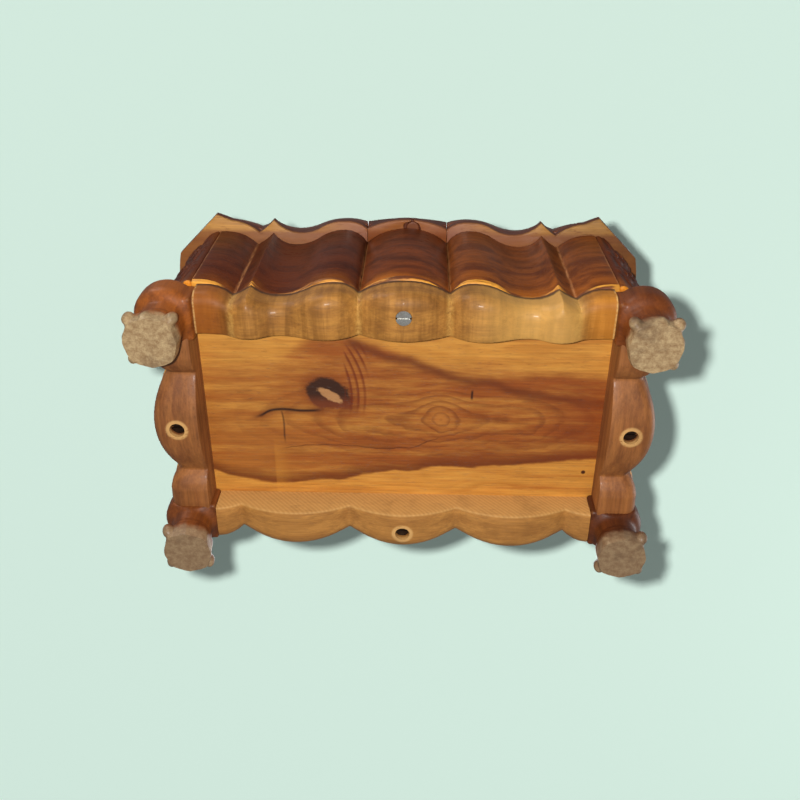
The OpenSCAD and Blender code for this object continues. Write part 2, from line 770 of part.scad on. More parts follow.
module left_hinge_lid_leaf() { lid_leaf(-hinge_x); }
module right_hinge_lid_leaf() { lid_leaf(hinge_x); }

module hinge_pins() {
    color("#9c7a2e") at_hinges() translate([-hinge_w / 2, hinge_y, wall_top]) rotate([0, 90, 0])
        cylinder(h = hinge_w, r = hinge_pin_r);
}

module hinge_wall_screws() {
    color("#a5812f") at_hinges() for (x = [-7, 7], z = [-10.5, -5])
        translate([x, half_w + 0.2, wall_top + z]) rotate([90, 0, 0])
            screw(small_head_r, small_shank_r, small_screw_l);
}

module hinge_lid_screws() {
    color("#a5812f") at_hinges() lid_leaf_screw_places()
        screw(small_head_r, small_shank_r, 4.5);
}

front_apron();
back_apron();
left_apron();
right_apron();
front_left_leg();
front_right_leg();
back_left_leg();
back_right_leg();
base_screws();
bottom_panel();
front_left_wall();
front_right_wall();
lock_panel();
back_wall();
left_wall();
right_wall();
front_left_corner();
front_right_corner();
back_left_corner();
back_right_corner();
false_floor();
drawer_guides();
drawer_stop();
front_slide();
slide_cap();
slide_runners();
drawer_front();
drawer_bottom();
drawer_left_side();
drawer_right_side();
drawer_back();
key();
escutcheon();
escutcheon_pins();
lock_case();
lock_screws();
lock_bolt();
strike_plate();
strike_screws();
lid_front_left_moulding();
lid_front_right_moulding();
lid_back_moulding();
lid_left_moulding();
lid_right_moulding();
lid_board();
lid_raised_field();
left_hinge_wall_leaf();
right_hinge_wall_leaf();
left_hinge_lid_leaf();
right_hinge_lid_leaf();
hinge_pins();
hinge_wall_screws();
hinge_lid_screws();
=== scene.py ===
import math

import bpy
from mathutils import Euler, Matrix, Vector


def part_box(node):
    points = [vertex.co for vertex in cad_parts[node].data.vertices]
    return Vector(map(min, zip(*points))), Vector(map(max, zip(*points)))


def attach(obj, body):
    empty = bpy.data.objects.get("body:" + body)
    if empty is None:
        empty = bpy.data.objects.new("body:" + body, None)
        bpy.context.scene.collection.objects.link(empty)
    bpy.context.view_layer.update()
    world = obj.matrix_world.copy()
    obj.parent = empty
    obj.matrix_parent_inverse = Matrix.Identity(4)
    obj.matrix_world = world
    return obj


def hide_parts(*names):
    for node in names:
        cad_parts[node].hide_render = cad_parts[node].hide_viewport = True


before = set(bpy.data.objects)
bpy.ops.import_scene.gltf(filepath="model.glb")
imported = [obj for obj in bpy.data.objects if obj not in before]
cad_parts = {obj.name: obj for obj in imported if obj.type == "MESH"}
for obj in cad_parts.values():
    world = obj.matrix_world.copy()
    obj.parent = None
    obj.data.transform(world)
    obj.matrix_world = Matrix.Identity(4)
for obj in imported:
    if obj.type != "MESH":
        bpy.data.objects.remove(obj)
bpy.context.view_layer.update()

MM = 0.001

WALL_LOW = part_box("front_left_wall")[0]
LEG_LOW, LEG_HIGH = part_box("front_right_leg")
APRON_LOW, APRON_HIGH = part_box("front_apron")
SLIDE_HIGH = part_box("front_slide")[1]


def mm(*sizes):
    """Sizes in millimetres, in the metres of the frame."""
    return tuple(size * MM for size in sizes)


# ---- picking and joining ----
def pick(*pieces):
    bpy.ops.object.select_all(action="DESELECT")
    for piece in pieces:
        piece.select_set(True)
    bpy.context.view_layer.objects.active = pieces[0]


def just_made():
    return bpy.context.view_layer.objects.active


def editing(piece):
    pick(piece)
    bpy.ops.object.mode_set(mode="EDIT")


def done_editing():
    bpy.ops.object.mode_set(mode="OBJECT")


def apply_modifier(piece, kind, **settings):
    pick(piece)
    modifier = piece.modifiers.new(kind.title(), kind)
    for setting, value in settings.items():
        setattr(modifier, setting, value)
    bpy.ops.object.modifier_apply(modifier=modifier.name)


def place_in_mesh(piece):
    pick(piece)
    bpy.ops.object.transform_apply(location=True, rotation=True, scale=True)


def soften(piece, degrees=35):
    pick(piece)
    bpy.ops.object.shade_smooth_by_angle(angle=math.radians(degrees))


def joined(name, *pieces):
    pick(*pieces)
    bpy.ops.object.join()
    piece = just_made()
    piece.name = name
    return piece


def own_copy(piece, name):
    twin = piece.copy()
    twin.data = piece.data.copy()
    twin.name = name
    bpy.context.collection.objects.link(twin)
    return twin


def mirrored(piece, name, flip_x, flip_y):
    twin = own_copy(piece, name)
    twin.data.transform(Matrix.Diagonal((-1 if flip_x else 1, -1 if flip_y else 1, 1, 1)))
    if flip_x != flip_y:
        twin.data.flip_normals()
    return twin


def fit(piece, body, slot, nodes, *finishes):
    """Gives a finished piece its body and materials, and hides the CAD nodes it stands for; its slot is not
    used.
    """
    for place, finish in enumerate(finishes):
        if place < len(piece.data.materials):
            piece.data.materials[place] = finish
        else:
            piece.data.materials.append(finish)
    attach(piece, body)
    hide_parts(*nodes)


def from_cad(node, name):
    """A copy of a CAD node with its triangles merged into clean faces."""
    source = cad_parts[node]
    piece = bpy.data.objects.new(name, source.data.copy())
    piece.data.materials.clear()
    bpy.context.collection.objects.link(piece)
    editing(piece)
    bpy.ops.mesh.select_all(action="SELECT")
    bpy.ops.mesh.remove_doubles(threshold=0.02 * MM)
    bpy.ops.mesh.dissolve_limited(angle_limit=math.radians(0.5))
    done_editing()
    return piece


def pick_edges(piece, wanted):
    """Selects the edges for which wanted(middle, ends, normals) holds."""
    mesh = piece.data
    faces_at = {}
    for face in mesh.polygons:
        for key in face.edge_keys:
            faces_at.setdefault(key, []).append(face.normal.copy())
    editing(piece)
    bpy.ops.mesh.select_mode(type="EDGE")
    bpy.ops.mesh.select_all(action="DESELECT")
    done_editing()
    for edge in mesh.edges:
        ends = [mesh.vertices[v].co for v in edge.vertices]
        key = tuple(sorted(edge.vertices))
        edge.select = wanted((ends[0] + ends[1]) / 2, ends, faces_at.get(key, []))
    bpy.ops.object.mode_set(mode="EDIT")


def chamfer_lower_edge(piece, outward, width, finish=1):
    """Planes a flat on the lowest edges that face outward, in the second material."""
    lowest = min(v.co.z for v in piece.data.vertices)

    def at_the_foot(middle, ends, normals):
        low = all(end.z < lowest + 0.05 * MM for end in ends)
        return low and any(normal.dot(outward) > 0.2 for normal in normals)

    while len(piece.data.materials) <= finish:
        piece.data.materials.append(None)
    pick_edges(piece, at_the_foot)
    bpy.ops.mesh.bevel(offset=width, segments=2, profile=0.6, clamp_overlap=False, material=finish)
    done_editing()


def ease_edges(piece, width=0.35 * MM, degrees=40):
    apply_modifier(piece, "BEVEL", width=width, segments=2, limit_method="ANGLE",
                   angle_limit=math.radians(degrees))
    soften(piece)


def close_up(piece):
    """Merges a piece's seams, fills its open ends and turns its faces outward."""
    editing(piece)
    bpy.ops.mesh.select_all(action="SELECT")
    bpy.ops.mesh.remove_doubles(threshold=0.01 * MM)
    bpy.ops.mesh.fill_holes(sides=0)
    bpy.ops.mesh.select_all(action="SELECT")
    bpy.ops.mesh.normals_make_consistent(inside=False)
    done_editing()


# ---- rounded aprons ----
def sounding(node, origin, direction):
    """Where a straight line from origin first meets a CAD node."""
    hit, place, _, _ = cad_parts[node].ray_cast(origin, direction)
    return place if hit else None


def rolled_apron(node, name, outward, roll, inner_roll=1.2 * MM, step=0.8 * MM):
    """An apron swept along its length, with its outer lower arris rolled over.
    Its plan and its scalloped underside are sounded from the CAD solid."""
    low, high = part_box(node)
    along_x = abs(outward.y) > 0.5
    sign = outward.y if along_x else outward.x
    half = (high.x if along_x else high.y) - 0.02 * MM
    thick_in = (low.y if sign > 0 else high.y) if along_x else (low.x if sign > 0 else high.x)
    top = high.z
    count = int(round(2 * half / step)) + 1
    turn_steps = 6

    def at(s, t, z):
        return Vector((s, t, z)) if along_x else Vector((t, s, z))

    def section(s):
        face = sounding(node, at(s, sign * 0.2, top - 0.6 * MM), -outward)
        under = sounding(node, at(s, thick_in + sign * 1.0 * MM, -0.01), Vector((0, 0, 1)))
        out = face.y if along_x else face.x
        foot = under.z
        turn = min(roll, (top - foot) * 0.45)
        path = [at(s, out, top), at(s, out, (top + foot + turn) / 2)]
        for k in range(turn_steps + 1):
            angle = math.pi / 2 * k / turn_steps
            path.append(at(s, out - sign * turn * (1 - math.cos(angle)), foot + turn * (1 - math.sin(angle))))
        for part in (0.34, 0.67):
            near = out - sign * turn
            path.append(at(s, near + (thick_in + sign * inner_roll - near) * part, foot))
        for k in range(3):
            angle = math.pi / 2 * k / 2
            path.append(at(s, thick_in + sign * inner_roll * (1 - math.sin(angle)),
                           foot + inner_roll * (1 - math.cos(angle))))
        path.append(at(s, thick_in, top))
        path.append(path[0])
        return path

    rows = [section(-half + 2 * half * k / (count - 1)) for k in range(count)]
    across = len(rows[0])
    bpy.ops.mesh.primitive_grid_add(x_subdivisions=across - 1, y_subdivisions=count - 1, size=1)
    piece = just_made()
    piece.name = name
    for k, vertex in enumerate(piece.data.vertices):
        vertex.co = rows[k // across][k % across]
    close_up(piece)
    return piece


# ---- finishes ----
def shade(red, green, blue):
    """A colour given as 0-255 values, as Blender's linear light."""
    def linear(value):
        part = value / 255
        return part / 12.92 if part <= 0.04045 else ((part + 0.055) / 1.055) ** 2.4
    return (linear(red), linear(green), linear(blue), 1.0)


class Recipe:
    """Short calls that add and link the nodes of one material or group."""

    def __init__(self, tree):
        self.tree = tree

    def add(self, kind, **settings):
        node = self.tree.nodes.new(kind)
        for setting, value in settings.items():
            setattr(node, setting, value)
        return node

    def feed(self, socket, value):
        if value is None:
            return
        if isinstance(value, bpy.types.NodeSocket):
            self.tree.links.new(value, socket)
        else:
            socket.default_value = value

    def math(self, operation, a, b=None, c=None):
        node = self.add("ShaderNodeMath", operation=operation)
        for socket, value in zip(node.inputs, (a, b, c)):
            self.feed(socket, value)
        return node.outputs[0]

    def plus(self, a, b):
        return self.math("ADD", a, b)

    def minus(self, a, b):
        return self.math("SUBTRACT", a, b)

    def times(self, a, b):
        return self.math("MULTIPLY", a, b)

    def over(self, a, b):
        return self.math("DIVIDE", a, b)

    def size(self, a):
        return self.math("ABSOLUTE", a)

    def scaled(self, a, by, offset):
        return self.math("MULTIPLY_ADD", a, by, offset)

    def reach(self, a, b):
        """Distance from the middle, from how far off it is along two axes."""
        return self.math("SQRT", self.plus(self.times(a, a), self.times(b, b)))

    def vector(self, operation, a, b=None):
        node = self.add("ShaderNodeVectorMath", operation=operation)
        self.feed(node.inputs[0], a)
        self.feed(node.inputs[1], b)
        return node.outputs["Value" if operation in ("LENGTH", "DOT_PRODUCT") else "Vector"]

    def split(self, vector):
        node = self.add("ShaderNodeSeparateXYZ")
        self.feed(node.inputs[0], vector)
        return node.outputs["X"], node.outputs["Y"], node.outputs["Z"]

    def join(self, x, y, z):
        node = self.add("ShaderNodeCombineXYZ")
        for socket, value in zip(node.inputs, (x, y, z)):
            self.feed(socket, value)
        return node.outputs[0]

    def rise(self, value, low, high):
        """0 below low, 1 above high, smooth between; low may be the greater."""
        node = self.add("ShaderNodeMapRange", interpolation_type="SMOOTHSTEP", clamp=True)
        for socket, part in zip(node.inputs, (value, low, high, 0.0, 1.0)):
            self.feed(socket, part)
        return node.outputs[0]

    def band(self, value, start, full, fading, end):
        """0 before start, 1 from full to fading, 0 after end."""
        return self.times(self.rise(value, start, full), self.rise(value, end, fading))

    def noise(self, vector, scale, detail=3.0, roughness=0.55):
        node = self.add("ShaderNodeTexNoise")
        self.feed(node.inputs["Vector"], vector)
        self.feed(node.inputs["Scale"], scale)
        self.feed(node.inputs["Detail"], detail)
        self.feed(node.inputs["Roughness"], roughness)
        return node.outputs["Fac"]

    def stretched(self, place, stretch, detail, roughness=0.55):
        """Noise with a different scale along each axis."""
        return self.noise(self.vector("MULTIPLY", place, stretch), 1.0, detail, roughness)

    def mix(self, amount, a, b, kind="MIX"):
        node = self.add("ShaderNodeMix", data_type="RGBA", blend_type=kind)
        self.feed(node.inputs["Factor"], amount)
        self.feed(node.inputs[6], a)
        self.feed(node.inputs[7], b)
        return node.outputs[2]

    def tinted(self, colour, tint):
        return self.mix(1.0, colour, tint, "MULTIPLY")

    def laid(self, mask, strength, under, tone):
        return self.mix(self.times(mask, strength), under, tone)

    def curve(self, value, points):
        """A smooth line through (x, y) points, as a function of value."""
        xs = [x for x, _ in points]
        ys = [y for _, y in points]
        span_x, span_y = xs[-1] - xs[0], max(ys) - min(ys)
        node = self.add("ShaderNodeFloatCurve")
        line = node.mapping.curves[0]
        while len(line.points) < len(points):
            line.points.new(0.5, 0.5)
        for point, (x, y) in zip(line.points, points):
            point.location = ((x - xs[0]) / span_x, (y - min(ys)) / span_y)
        node.mapping.update()
        self.feed(node.inputs["Value"], self.math("DIVIDE", self.math("SUBTRACT", value, xs[0]), span_x))
        return self.math("MULTIPLY_ADD", node.outputs[0], span_y, min(ys))


def new_group(name, inputs, outputs):
    """An empty node group with named sockets; returns its tree, inputs and output node."""
    tree = bpy.data.node_groups.new(name, "ShaderNodeTree")
    for label, kind, value in inputs:
        socket = tree.interface.new_socket(label, in_out="INPUT", socket_type=kind)
        if value is not None:
            socket.default_value = value
    for label, kind in outputs:
        tree.interface.new_socket(label, in_out="OUTPUT", socket_type=kind)
    start = tree.nodes.new("NodeGroupInput")
    end = tree.nodes.new("NodeGroupOutput")
    return tree, start.outputs, end.inputs


NUMBER = "NodeSocketFloat"
VECTOR = "NodeSocketVector"


def timber_group():
    """Grain that runs along X of Place (millimetres): rings, fibres, pores, streaks."""
    tree, give, take = new_group(
        "timber grain",
        [("Place", VECTOR, None), ("Ring Gap", NUMBER, 4.0), ("Wobble", NUMBER, 5.0),
         ("Pith Depth", NUMBER, 40.0)],
        [("Rings", NUMBER), ("Fibres", NUMBER), ("Pores", NUMBER), ("Streaks", NUMBER)])
    r = Recipe(tree)
    place = give["Place"]
    slow = r.stretched(place, (0.012, 0.035, 0.035), 2.0)
    bend = r.times(r.minus(slow, 0.5), r.times(give["Wobble"], 4.0))
    x, y, z = r.split(place)
    deep = r.plus(z, give["Pith Depth"])
    from_pith = r.reach(y, deep)
    quick = r.stretched(place, (0.03, 0.16, 0.16), 3.0, 0.6)
    bend = r.scaled(quick, 5.0, bend)
    radius = r.plus(r.plus(from_pith, bend), r.times(x, 0.03))
    step = r.math("FRACT", r.over(radius, give["Ring Gap"]))
    late = r.band(step, 0.1, 0.85, 0.86, 1.0)
    late = r.times(late, r.rise(slow, 0.3, 0.62))
    r.feed(take["Rings"], late)
    r.feed(take["Fibres"], r.stretched(place, (0.035, 1.1, 1.1), 4.0, 0.65))
    flecks = r.stretched(place, (0.22, 4.2, 4.2), 1.0)
    r.feed(take["Pores"], r.rise(flecks, 0.66, 0.78))
    r.feed(take["Streaks"], r.stretched(place, (0.012, 0.2, 0.2), 5.0, 0.62))
    return tree


def handling_group():
    """Marks of handling, as masks: soft patches of grime, small specks and fine scuffs."""
    tree, give, take = new_group(
        "handling marks", [("Place", VECTOR, None)],
        [("Grime", NUMBER), ("Specks", NUMBER), ("Scuffs", NUMBER)])
    r = Recipe(tree)
    place = give["Place"]
    r.feed(take["Grime"], r.rise(r.noise(place, 0.06, 4.0, 0.6), 0.48, 0.72))
    r.feed(take["Specks"], r.rise(r.noise(place, 1.3, 2.0, 0.5), 0.68, 0.76))
    r.feed(take["Scuffs"], r.rise(r.stretched(place, (0.25, 0.9, 0.9), 5.0, 0.7), 0.55, 0.7))
    return tree


TIMBER = timber_group()
HANDLING = handling_group()

ALONG_X = (0.0, 0.0, 0.0)
ALONG_Y = (0.0, 0.0, math.radians(90))
ALONG_Z = (0.0, math.radians(90), 0.0)


def blank_material(name):
    material = bpy.data.materials.new(name)
    material.use_nodes = True
    material.node_tree.nodes.clear()
    return material, Recipe(material.node_tree)


def start_material(name):
    material, r = blank_material(name)
    shader = r.add("ShaderNodeBsdfPrincipled")
    output = r.add("ShaderNodeOutputMaterial")
    r.feed(output.inputs["Surface"], shader.outputs[0])
    return material, r, shader


def places(r, turn, shift=(0, 0, 0)):
    """Object coordinates in millimetres, and the same turned so the grain runs along X."""
    coords = r.add("ShaderNodeTexCoord").outputs["Object"]
    plain = r.vector("MULTIPLY", coords, (1000.0, 1000.0, 1000.0))
    turned = r.add("ShaderNodeMapping")
    r.feed(turned.inputs["Vector"], plain)
    turned.inputs["Rotation"].default_value = turn
    turned.inputs["Location"].default_value = shift
    return plain, turned.outputs[0]


def use_group(r, tree, **values):
    node = r.add("ShaderNodeGroup", node_tree=tree)
    for label, value in values.items():
        r.feed(node.inputs[label.replace("_", " ")], value)
    return node.outputs


def raised(r, shader, height, depth, strength):
    bump = r.add("ShaderNodeBump")
    bump.inputs["Strength"].default_value = strength
    bump.inputs["Distance"].default_value = depth
    r.feed(bump.inputs["Height"], height)
    r.feed(shader.inputs["Normal"], bump.outputs[0])


def wood(name, early, late, streak, turn=ALONG_X, shift=(0, 0, 0), gap=4.0, wobble=5.0, pith=40.0,
         rings=0.55, streaks=0.5, gloss=0.38, coat=0.25, grime=0.35, carved=None, extra=None, raw=None,
         varnish=(0.94, 0.84, 0.6, 1.0), shine=0.35):
    """A varnished board: early and late wood and darker streaks, each as (red, green, blue)
    of 0-255, with pores and handling grime; gap and pith are in millimetres.
    extra paints further figure under the varnish and raw paints bare wood over it; both are
    called as paint(r, plain, colour, grain, marks) and return a colour."""
    material, r, shader = start_material(name)
    early, late, streak = shade(*early), shade(*late), shade(*streak)
    plain, along = places(r, turn, shift)
    grain = use_group(r, TIMBER, Place=along, Ring_Gap=gap, Wobble=wobble, Pith_Depth=pith)
    marks = use_group(r, HANDLING, Place=plain)
    colour = r.mix(r.times(grain["Rings"], rings), early, late)
    streaky = r.rise(grain["Streaks"], 0.38, 0.66)
    colour = r.mix(r.times(streaky, streaks), colour, streak)
    fibre = r.scaled(grain["Fibres"], 0.9, 0.55)
    colour = r.tinted(colour, r.join(fibre, fibre, fibre))
    if extra:
        colour = extra(r, plain, colour, grain, marks)
    colour = r.tinted(colour, varnish)
    if raw:
        colour = raw(r, plain, colour, grain, marks)
    if carved:
        bulge = r.add("ShaderNodeNewGeometry").outputs["Pointiness"]
        off_sole = r.rise(r.split(plain)[2], 0.05, 0.6)
        # painted shade: the hollows of the carving are darkened; the ridges get pale wear
        hollow_shade = r.times(r.rise(bulge, 0.495, 0.44), off_sole)
        colour = r.mix(hollow_shade, colour, shade(26, 12, 8))
        worn = r.times(r.rise(bulge, 0.53, 0.6), off_sole)
        colour = r.laid(worn, 0.6, colour, carved)
    colour = r.laid(grain["Pores"], 0.35, colour, shade(45, 24, 12))
    colour = r.mix(r.times(marks["Grime"], grime), colour,
                   r.tinted(colour, (0.35, 0.3, 0.27, 1.0)))
    r.feed(shader.inputs["Base Color"], colour)
    rough = r.scaled(marks["Scuffs"], 0.22, gloss)
    rough = r.scaled(grain["Fibres"], 0.12, rough)
    r.feed(shader.inputs["Roughness"], rough)
    shader.inputs["Specular IOR Level"].default_value = shine
    shader.inputs["Coat Weight"].default_value = coat
    shader.inputs["Coat Roughness"].default_value = 0.18
    height = r.minus(r.times(grain["Fibres"], 0.6), grain["Pores"])
    raised(r, shader, height, 0.12 * MM, 0.7)
    return material


# ---- figure of the bottom board ----
HEART = shade(148, 82, 34)
DARK_BAND = shade(100, 46, 18)
# places on the board, in millimetres from its middle: x to the right, y to the back
SAP_EDGE = [(-100, -26), (-60, -29), (-30, -40), (-17, -38), (15, -28.5), (39, -27), (63, -25),
            (100, -21)]
HEART_FOOT = [(-100, 30), (-90, 32.5), (-63, 38.5), (-35, 37.5), (-18, 33.8), (16, 30.2),
              (46, 27.2), (100, 22.5)]
UPPER_BAND = [(-30, -39), (-10, -30.5), (8, -25), (27, -19), (40, -16), (62, -11), (100, -6)]
SECOND_BAND = [(-60, 30), (-26, 25), (17, 23), (45, 19), (75, 11), (100, 4)]
CRACK = [(-72, 4.2), (-66, 1.6), (-57, -1.8), (-46, -1.2), (-34, -2.2)]
CRACK_SPUR = [(-3, -57.5), (4, -55.6), (14, -55.6), (20, -54.5)]
SEAM = [(-60, 19.6), (-28, 17.8), (-5, 18.5), (10.5, 14.5), (24, 7)]
NICK = [(-16, 32), (-10.7, 30.9), (-5, 31.6)]
EYE_X, EYE_Y = 17.0, 2.0
KNOT_X, KNOT_Y = -33.8, -9.0
PIN_HOLE = (85.5, 30.4, 33.5)
RING_GAP = 3.1


def beside(r, x, y, points, width, start=None, end=None, fade=4.0):
    """1 on the line through points, 0 at width from it; start and end limit it in x."""
    off = r.size(r.minus(y, r.curve(x, points)))
    mask = r.rise(off, width, 0.0)
    if start is not None:
        mask = r.times(mask, r.rise(x, start - fade, start + fade))
    if end is not None:
        mask = r.times(mask, r.rise(x, end + fade, end - fade))
    return mask


def board_figure(r, plain, colour, grain, marks):
    """Heartwood between pale edges, the eye, the knot, the dark bands and the cracks."""
    x0, y0, _ = r.split(plain)
    drift = r.noise(plain, 0.045, 3.0, 0.5)
    ripple = r.stretched(plain, (0.07, 0.35, 0.35), 3.0, 0.6)
    y = r.plus(y0, r.scaled(drift, 7.0, -3.5))
    y = r.plus(y, r.scaled(ripple, 1.6, -0.8))
    x = r.plus(x0, r.scaled(ripple, 3.0, -1.5))

    sap_edge = r.curve(x, SAP_EDGE)
    above = r.minus(y, sap_edge)
    low_edge = r.curve(x, HEART_FOOT)
    below = r.minus(low_edge, y)
    heart = r.times(r.rise(above, -1.5, 5.0), r.rise(below, -0.6, 1.6))
    left_pale = r.rise(x, -20.0, -75.0)
    heart_depth = r.scaled(left_pale, -0.3, 1.0)
    colour = r.mix(r.times(heart, heart_depth), colour,
                   r.tinted(HEART, r.scaled(grain["Fibres"], 0.8, 0.6)))

    # growth lines closing round the eye and running out to the right
    eye_x = r.minus(x, EYE_X)
    eye_y = r.minus(y, EYE_Y)
    stretch = r.rise(r.size(eye_x), 4.0, 45.0)
    flat_x = r.over(eye_x, r.scaled(stretch, 2.6, 1.15))
    round_eye = r.reach(flat_x, eye_y)
    ring = r.math("FRACT", r.over(r.plus(round_eye, r.times(drift, 5.0)), RING_GAP))
    line = r.band(ring, 0.35, 0.85, 0.86, 1.0)
    line = r.times(line, r.rise(round_eye, 34.0, 6.0))
    gleam = r.stretched(plain, (0.02, 0.15, 0.1), 5.0, 0.68)
    colour = r.laid(r.rise(gleam, 0.4, 0.78), 0.5, colour, shade(230, 174, 90))
    shadow = r.stretched(plain, (0.013, 0.19, 0.3), 5.0, 0.65)
    colour = r.laid(r.rise(shadow, 0.46, 0.76), 0.55, colour, shade(146, 70, 24))
    line = r.times(line, r.rise(ripple, 0.2, 0.55))
    colour = r.laid(r.times(line, heart), 0.5, colour, DARK_BAND)
    colour = r.laid(r.rise(round_eye, 6.0, 0.5), 0.35, colour, shade(205, 140, 72))

    # dark bands along the edges of the heartwood
    upper = beside(r, x, y, UPPER_BAND, 4.2, -26)
    colour = r.laid(upper, 0.75, colour, DARK_BAND)
    lower = r.band(below, -0.4, 1.2, 1.0, 8.5)
    colour = r.laid(lower, 0.8, colour, DARK_BAND)
    second = beside(r, x, y, SECOND_BAND, 5.5, 10)
    colour = r.laid(second, 0.4, colour, shade(118, 52, 16))
    far_right = r.times(r.rise(x, 55.0, 92.0), heart)
    colour = r.laid(far_right, 0.45, colour, shade(128, 58, 22))

    # the ring knot, its shrunk bark and the red wood beside it
    wander = r.scaled(r.noise(plain, 0.2, 4.0, 0.6), 5.0, -2.5)
    fray = r.scaled(r.noise(plain, 0.9, 3.0, 0.6), 1.6, -0.8)
    knot_x = r.plus(r.minus(x0, KNOT_X), wander)
    knot_y = r.minus(y0, KNOT_Y)
    lean_x = r.scaled(knot_y, -0.3, knot_x)
    dome = r.reach(lean_x, knot_y)
    floor = r.plus(r.plus(knot_y, r.times(wander, 0.4)), 3.6)
    corner = r.plus(r.math("SMOOTH_MAX", dome, floor, 2.0), fray)
    core_y = r.scaled(knot_x, -0.62, r.plus(knot_y, 0.6))
    core_y = r.times(core_y, 1.6)
    core_x = r.times(r.scaled(knot_x, 0.85, r.times(knot_y, 0.52)), 0.66)
    core = r.reach(core_x, core_y)
    core = r.plus(core, fray)
    bark = r.times(r.rise(corner, 10.8, 8.8), r.rise(core, 3.4, 5.0))
    halo = r.rise(corner, 15.0, 9.5)
    colour = r.laid(halo, 0.5, colour, shade(112, 52, 18))
    colour = r.mix(r.rise(core, 6.2, 4.8), colour,
                   r.mix(grain["Streaks"], shade(150, 104, 72), shade(206, 160, 122)))
    colour = r.mix(bark, colour, r.mix(r.rise(knot_y, -2.0, 5.0), shade(58, 32, 22), shade(112, 56, 32)))
    red_x = r.plus(x0, r.times(r.times(knot_y, knot_y), 0.012))
    red = r.math("FRACT", r.over(r.plus(red_x, 60.0), RING_GAP))
    red = r.band(red, 0.3, 0.7, 0.75, 1.0)
    red = r.times(red, r.band(x0, -27.5, -25.5, -19.0, -15.0))
    red = r.times(red, r.band(y0, -38.0, -31.0, -7.0, 2.0))
    colour = r.laid(red, 0.75, colour, shade(104, 38, 10))

    # cracks, a pin hole and the faint saw step on the left
    check = beside(r, x0, y0, CRACK, 1.3, -67, -39, 3.0)
    spur = beside(r, y0, x0, CRACK_SPUR, 0.8, -1, 15, 3.0)
    seam = beside(r, x, y, SEAM, 0.6, -56, 16)
    nick = beside(r, y0, x0, NICK, 0.9, -13, -8.5, 1.0)
    cracks = r.math("MAXIMUM", r.math("MAXIMUM", check, r.times(spur, 0.7)), nick)
    colour = r.laid(seam, 0.6, colour, shade(70, 30, 12))
    smear = beside(r, x0, y0, CRACK, 4.0, -70, -36, 5.0)
    colour = r.laid(smear, 0.5, colour, shade(104, 50, 20))
    colour = r.mix(cracks, colour, shade(46, 20, 10))
    pin = r.vector("LENGTH", r.vector("SUBTRACT", plain, PIN_HOLE))
    colour = r.mix(r.rise(pin, 1.3, 0.7), colour, shade(70, 34, 14))
    step = r.band(x0, -61.5, -60.5, -60.0, -52.0)
    step = r.times(step, r.rise(y0, 10.0, 26.0))
    return r.laid(step, 0.2, colour, shade(222, 160, 70))


# ---- the woods ----
# the valleys between the scallops, as |x| in millimetres
EDGE_VALLEY = 73.0
WALL_VALLEY = 73.1
APRON_VALLEY = 72.5
# height in millimetres where the dark rim of the lid mouldings begins
RIM_START = 98.9


def bare_foot(height, colour, glow=0.0, seams=(), spread=1.4):
    """Bare wood up to a height (mm) from the foot of the walls, with a ragged edge, a golden
    glow above it, and pale lines down the joints and valleys at |x| = seams (mm)."""
    def paint(r, plain, base, grain, marks):
        x, _, z = r.split(plain)
        ragged = r.scaled(r.noise(plain, 0.25, 3.0, 0.6), spread, -spread / 2)
        up = r.plus(r.minus(z, WALL_LOW.z / MM), ragged)
        patch = r.stretched(plain, (0.03, 0.1, 0.06), 2.0)
        if glow:
            warm = r.times(r.rise(up, 15.0, 2.0), r.rise(patch, 0.3, 0.6))
            base = r.mix(r.times(warm, glow), base, shade(196, 124, 44))
        far = r.size(x)
        breakup = r.stretched(plain, (0.6, 0.6, 0.12), 4.0, 0.7)
        for seam in seams:
            line = r.rise(r.size(r.minus(far, seam)), 0.95, 0.25)
            line = r.times(line, r.rise(breakup, 0.36, 0.58))
            base = r.laid(line, 0.6, base, shade(196, 150, 116))
        bare = r.laid(marks["Grime"], 0.5, colour, shade(120, 62, 22))
        return r.mix(r.rise(up, height + 0.5, height - 0.5), base, bare)
    return paint


def in_turn(*paints):
    """One paint that lays several over each other."""
    def paint(r, plain, base, grain, marks):
        for each in paints:
            base = each(r, plain, base, grain, marks)
        return base
    return paint


def lit_ring_round_screw(far, y0):
    """A painted highlight in a ring round a sunk screw's hole at |x| = far and y = y0 (mm), where its rim
    catches the light.
    """
    def paint(r, plain, base, grain, marks):
        x, y, z = r.split(plain)
        across = r.minus(r.size(x), far)
        away = r.vector("LENGTH", r.join(across, r.minus(y, y0), 0.0))
        away = r.scaled(marks["Scuffs"], 1.2, away)
        # painted highlight round the rim of the hole
        ring = r.times(r.rise(away, 5.6, 4.4), r.rise(z, 19.0, 17.6))
        return r.laid(ring, 0.75, base, shade(226, 184, 132))
    return paint


def stained_valleys(r, plain, base, grain, marks):
    """Dark stain over the bare edge where the valleys are and in stretches between."""
    x, _, _ = r.split(plain)
    near = r.size(r.minus(r.size(x), EDGE_VALLEY))
    patch = r.stretched(plain, (0.045, 0.05, 0.3), 3.0, 0.6)
    kept = r.times(r.rise(near, 3.0, 8.0), r.rise(patch, 0.4, 0.52))
    return r.mix(kept, shade(112, 60, 28), base)


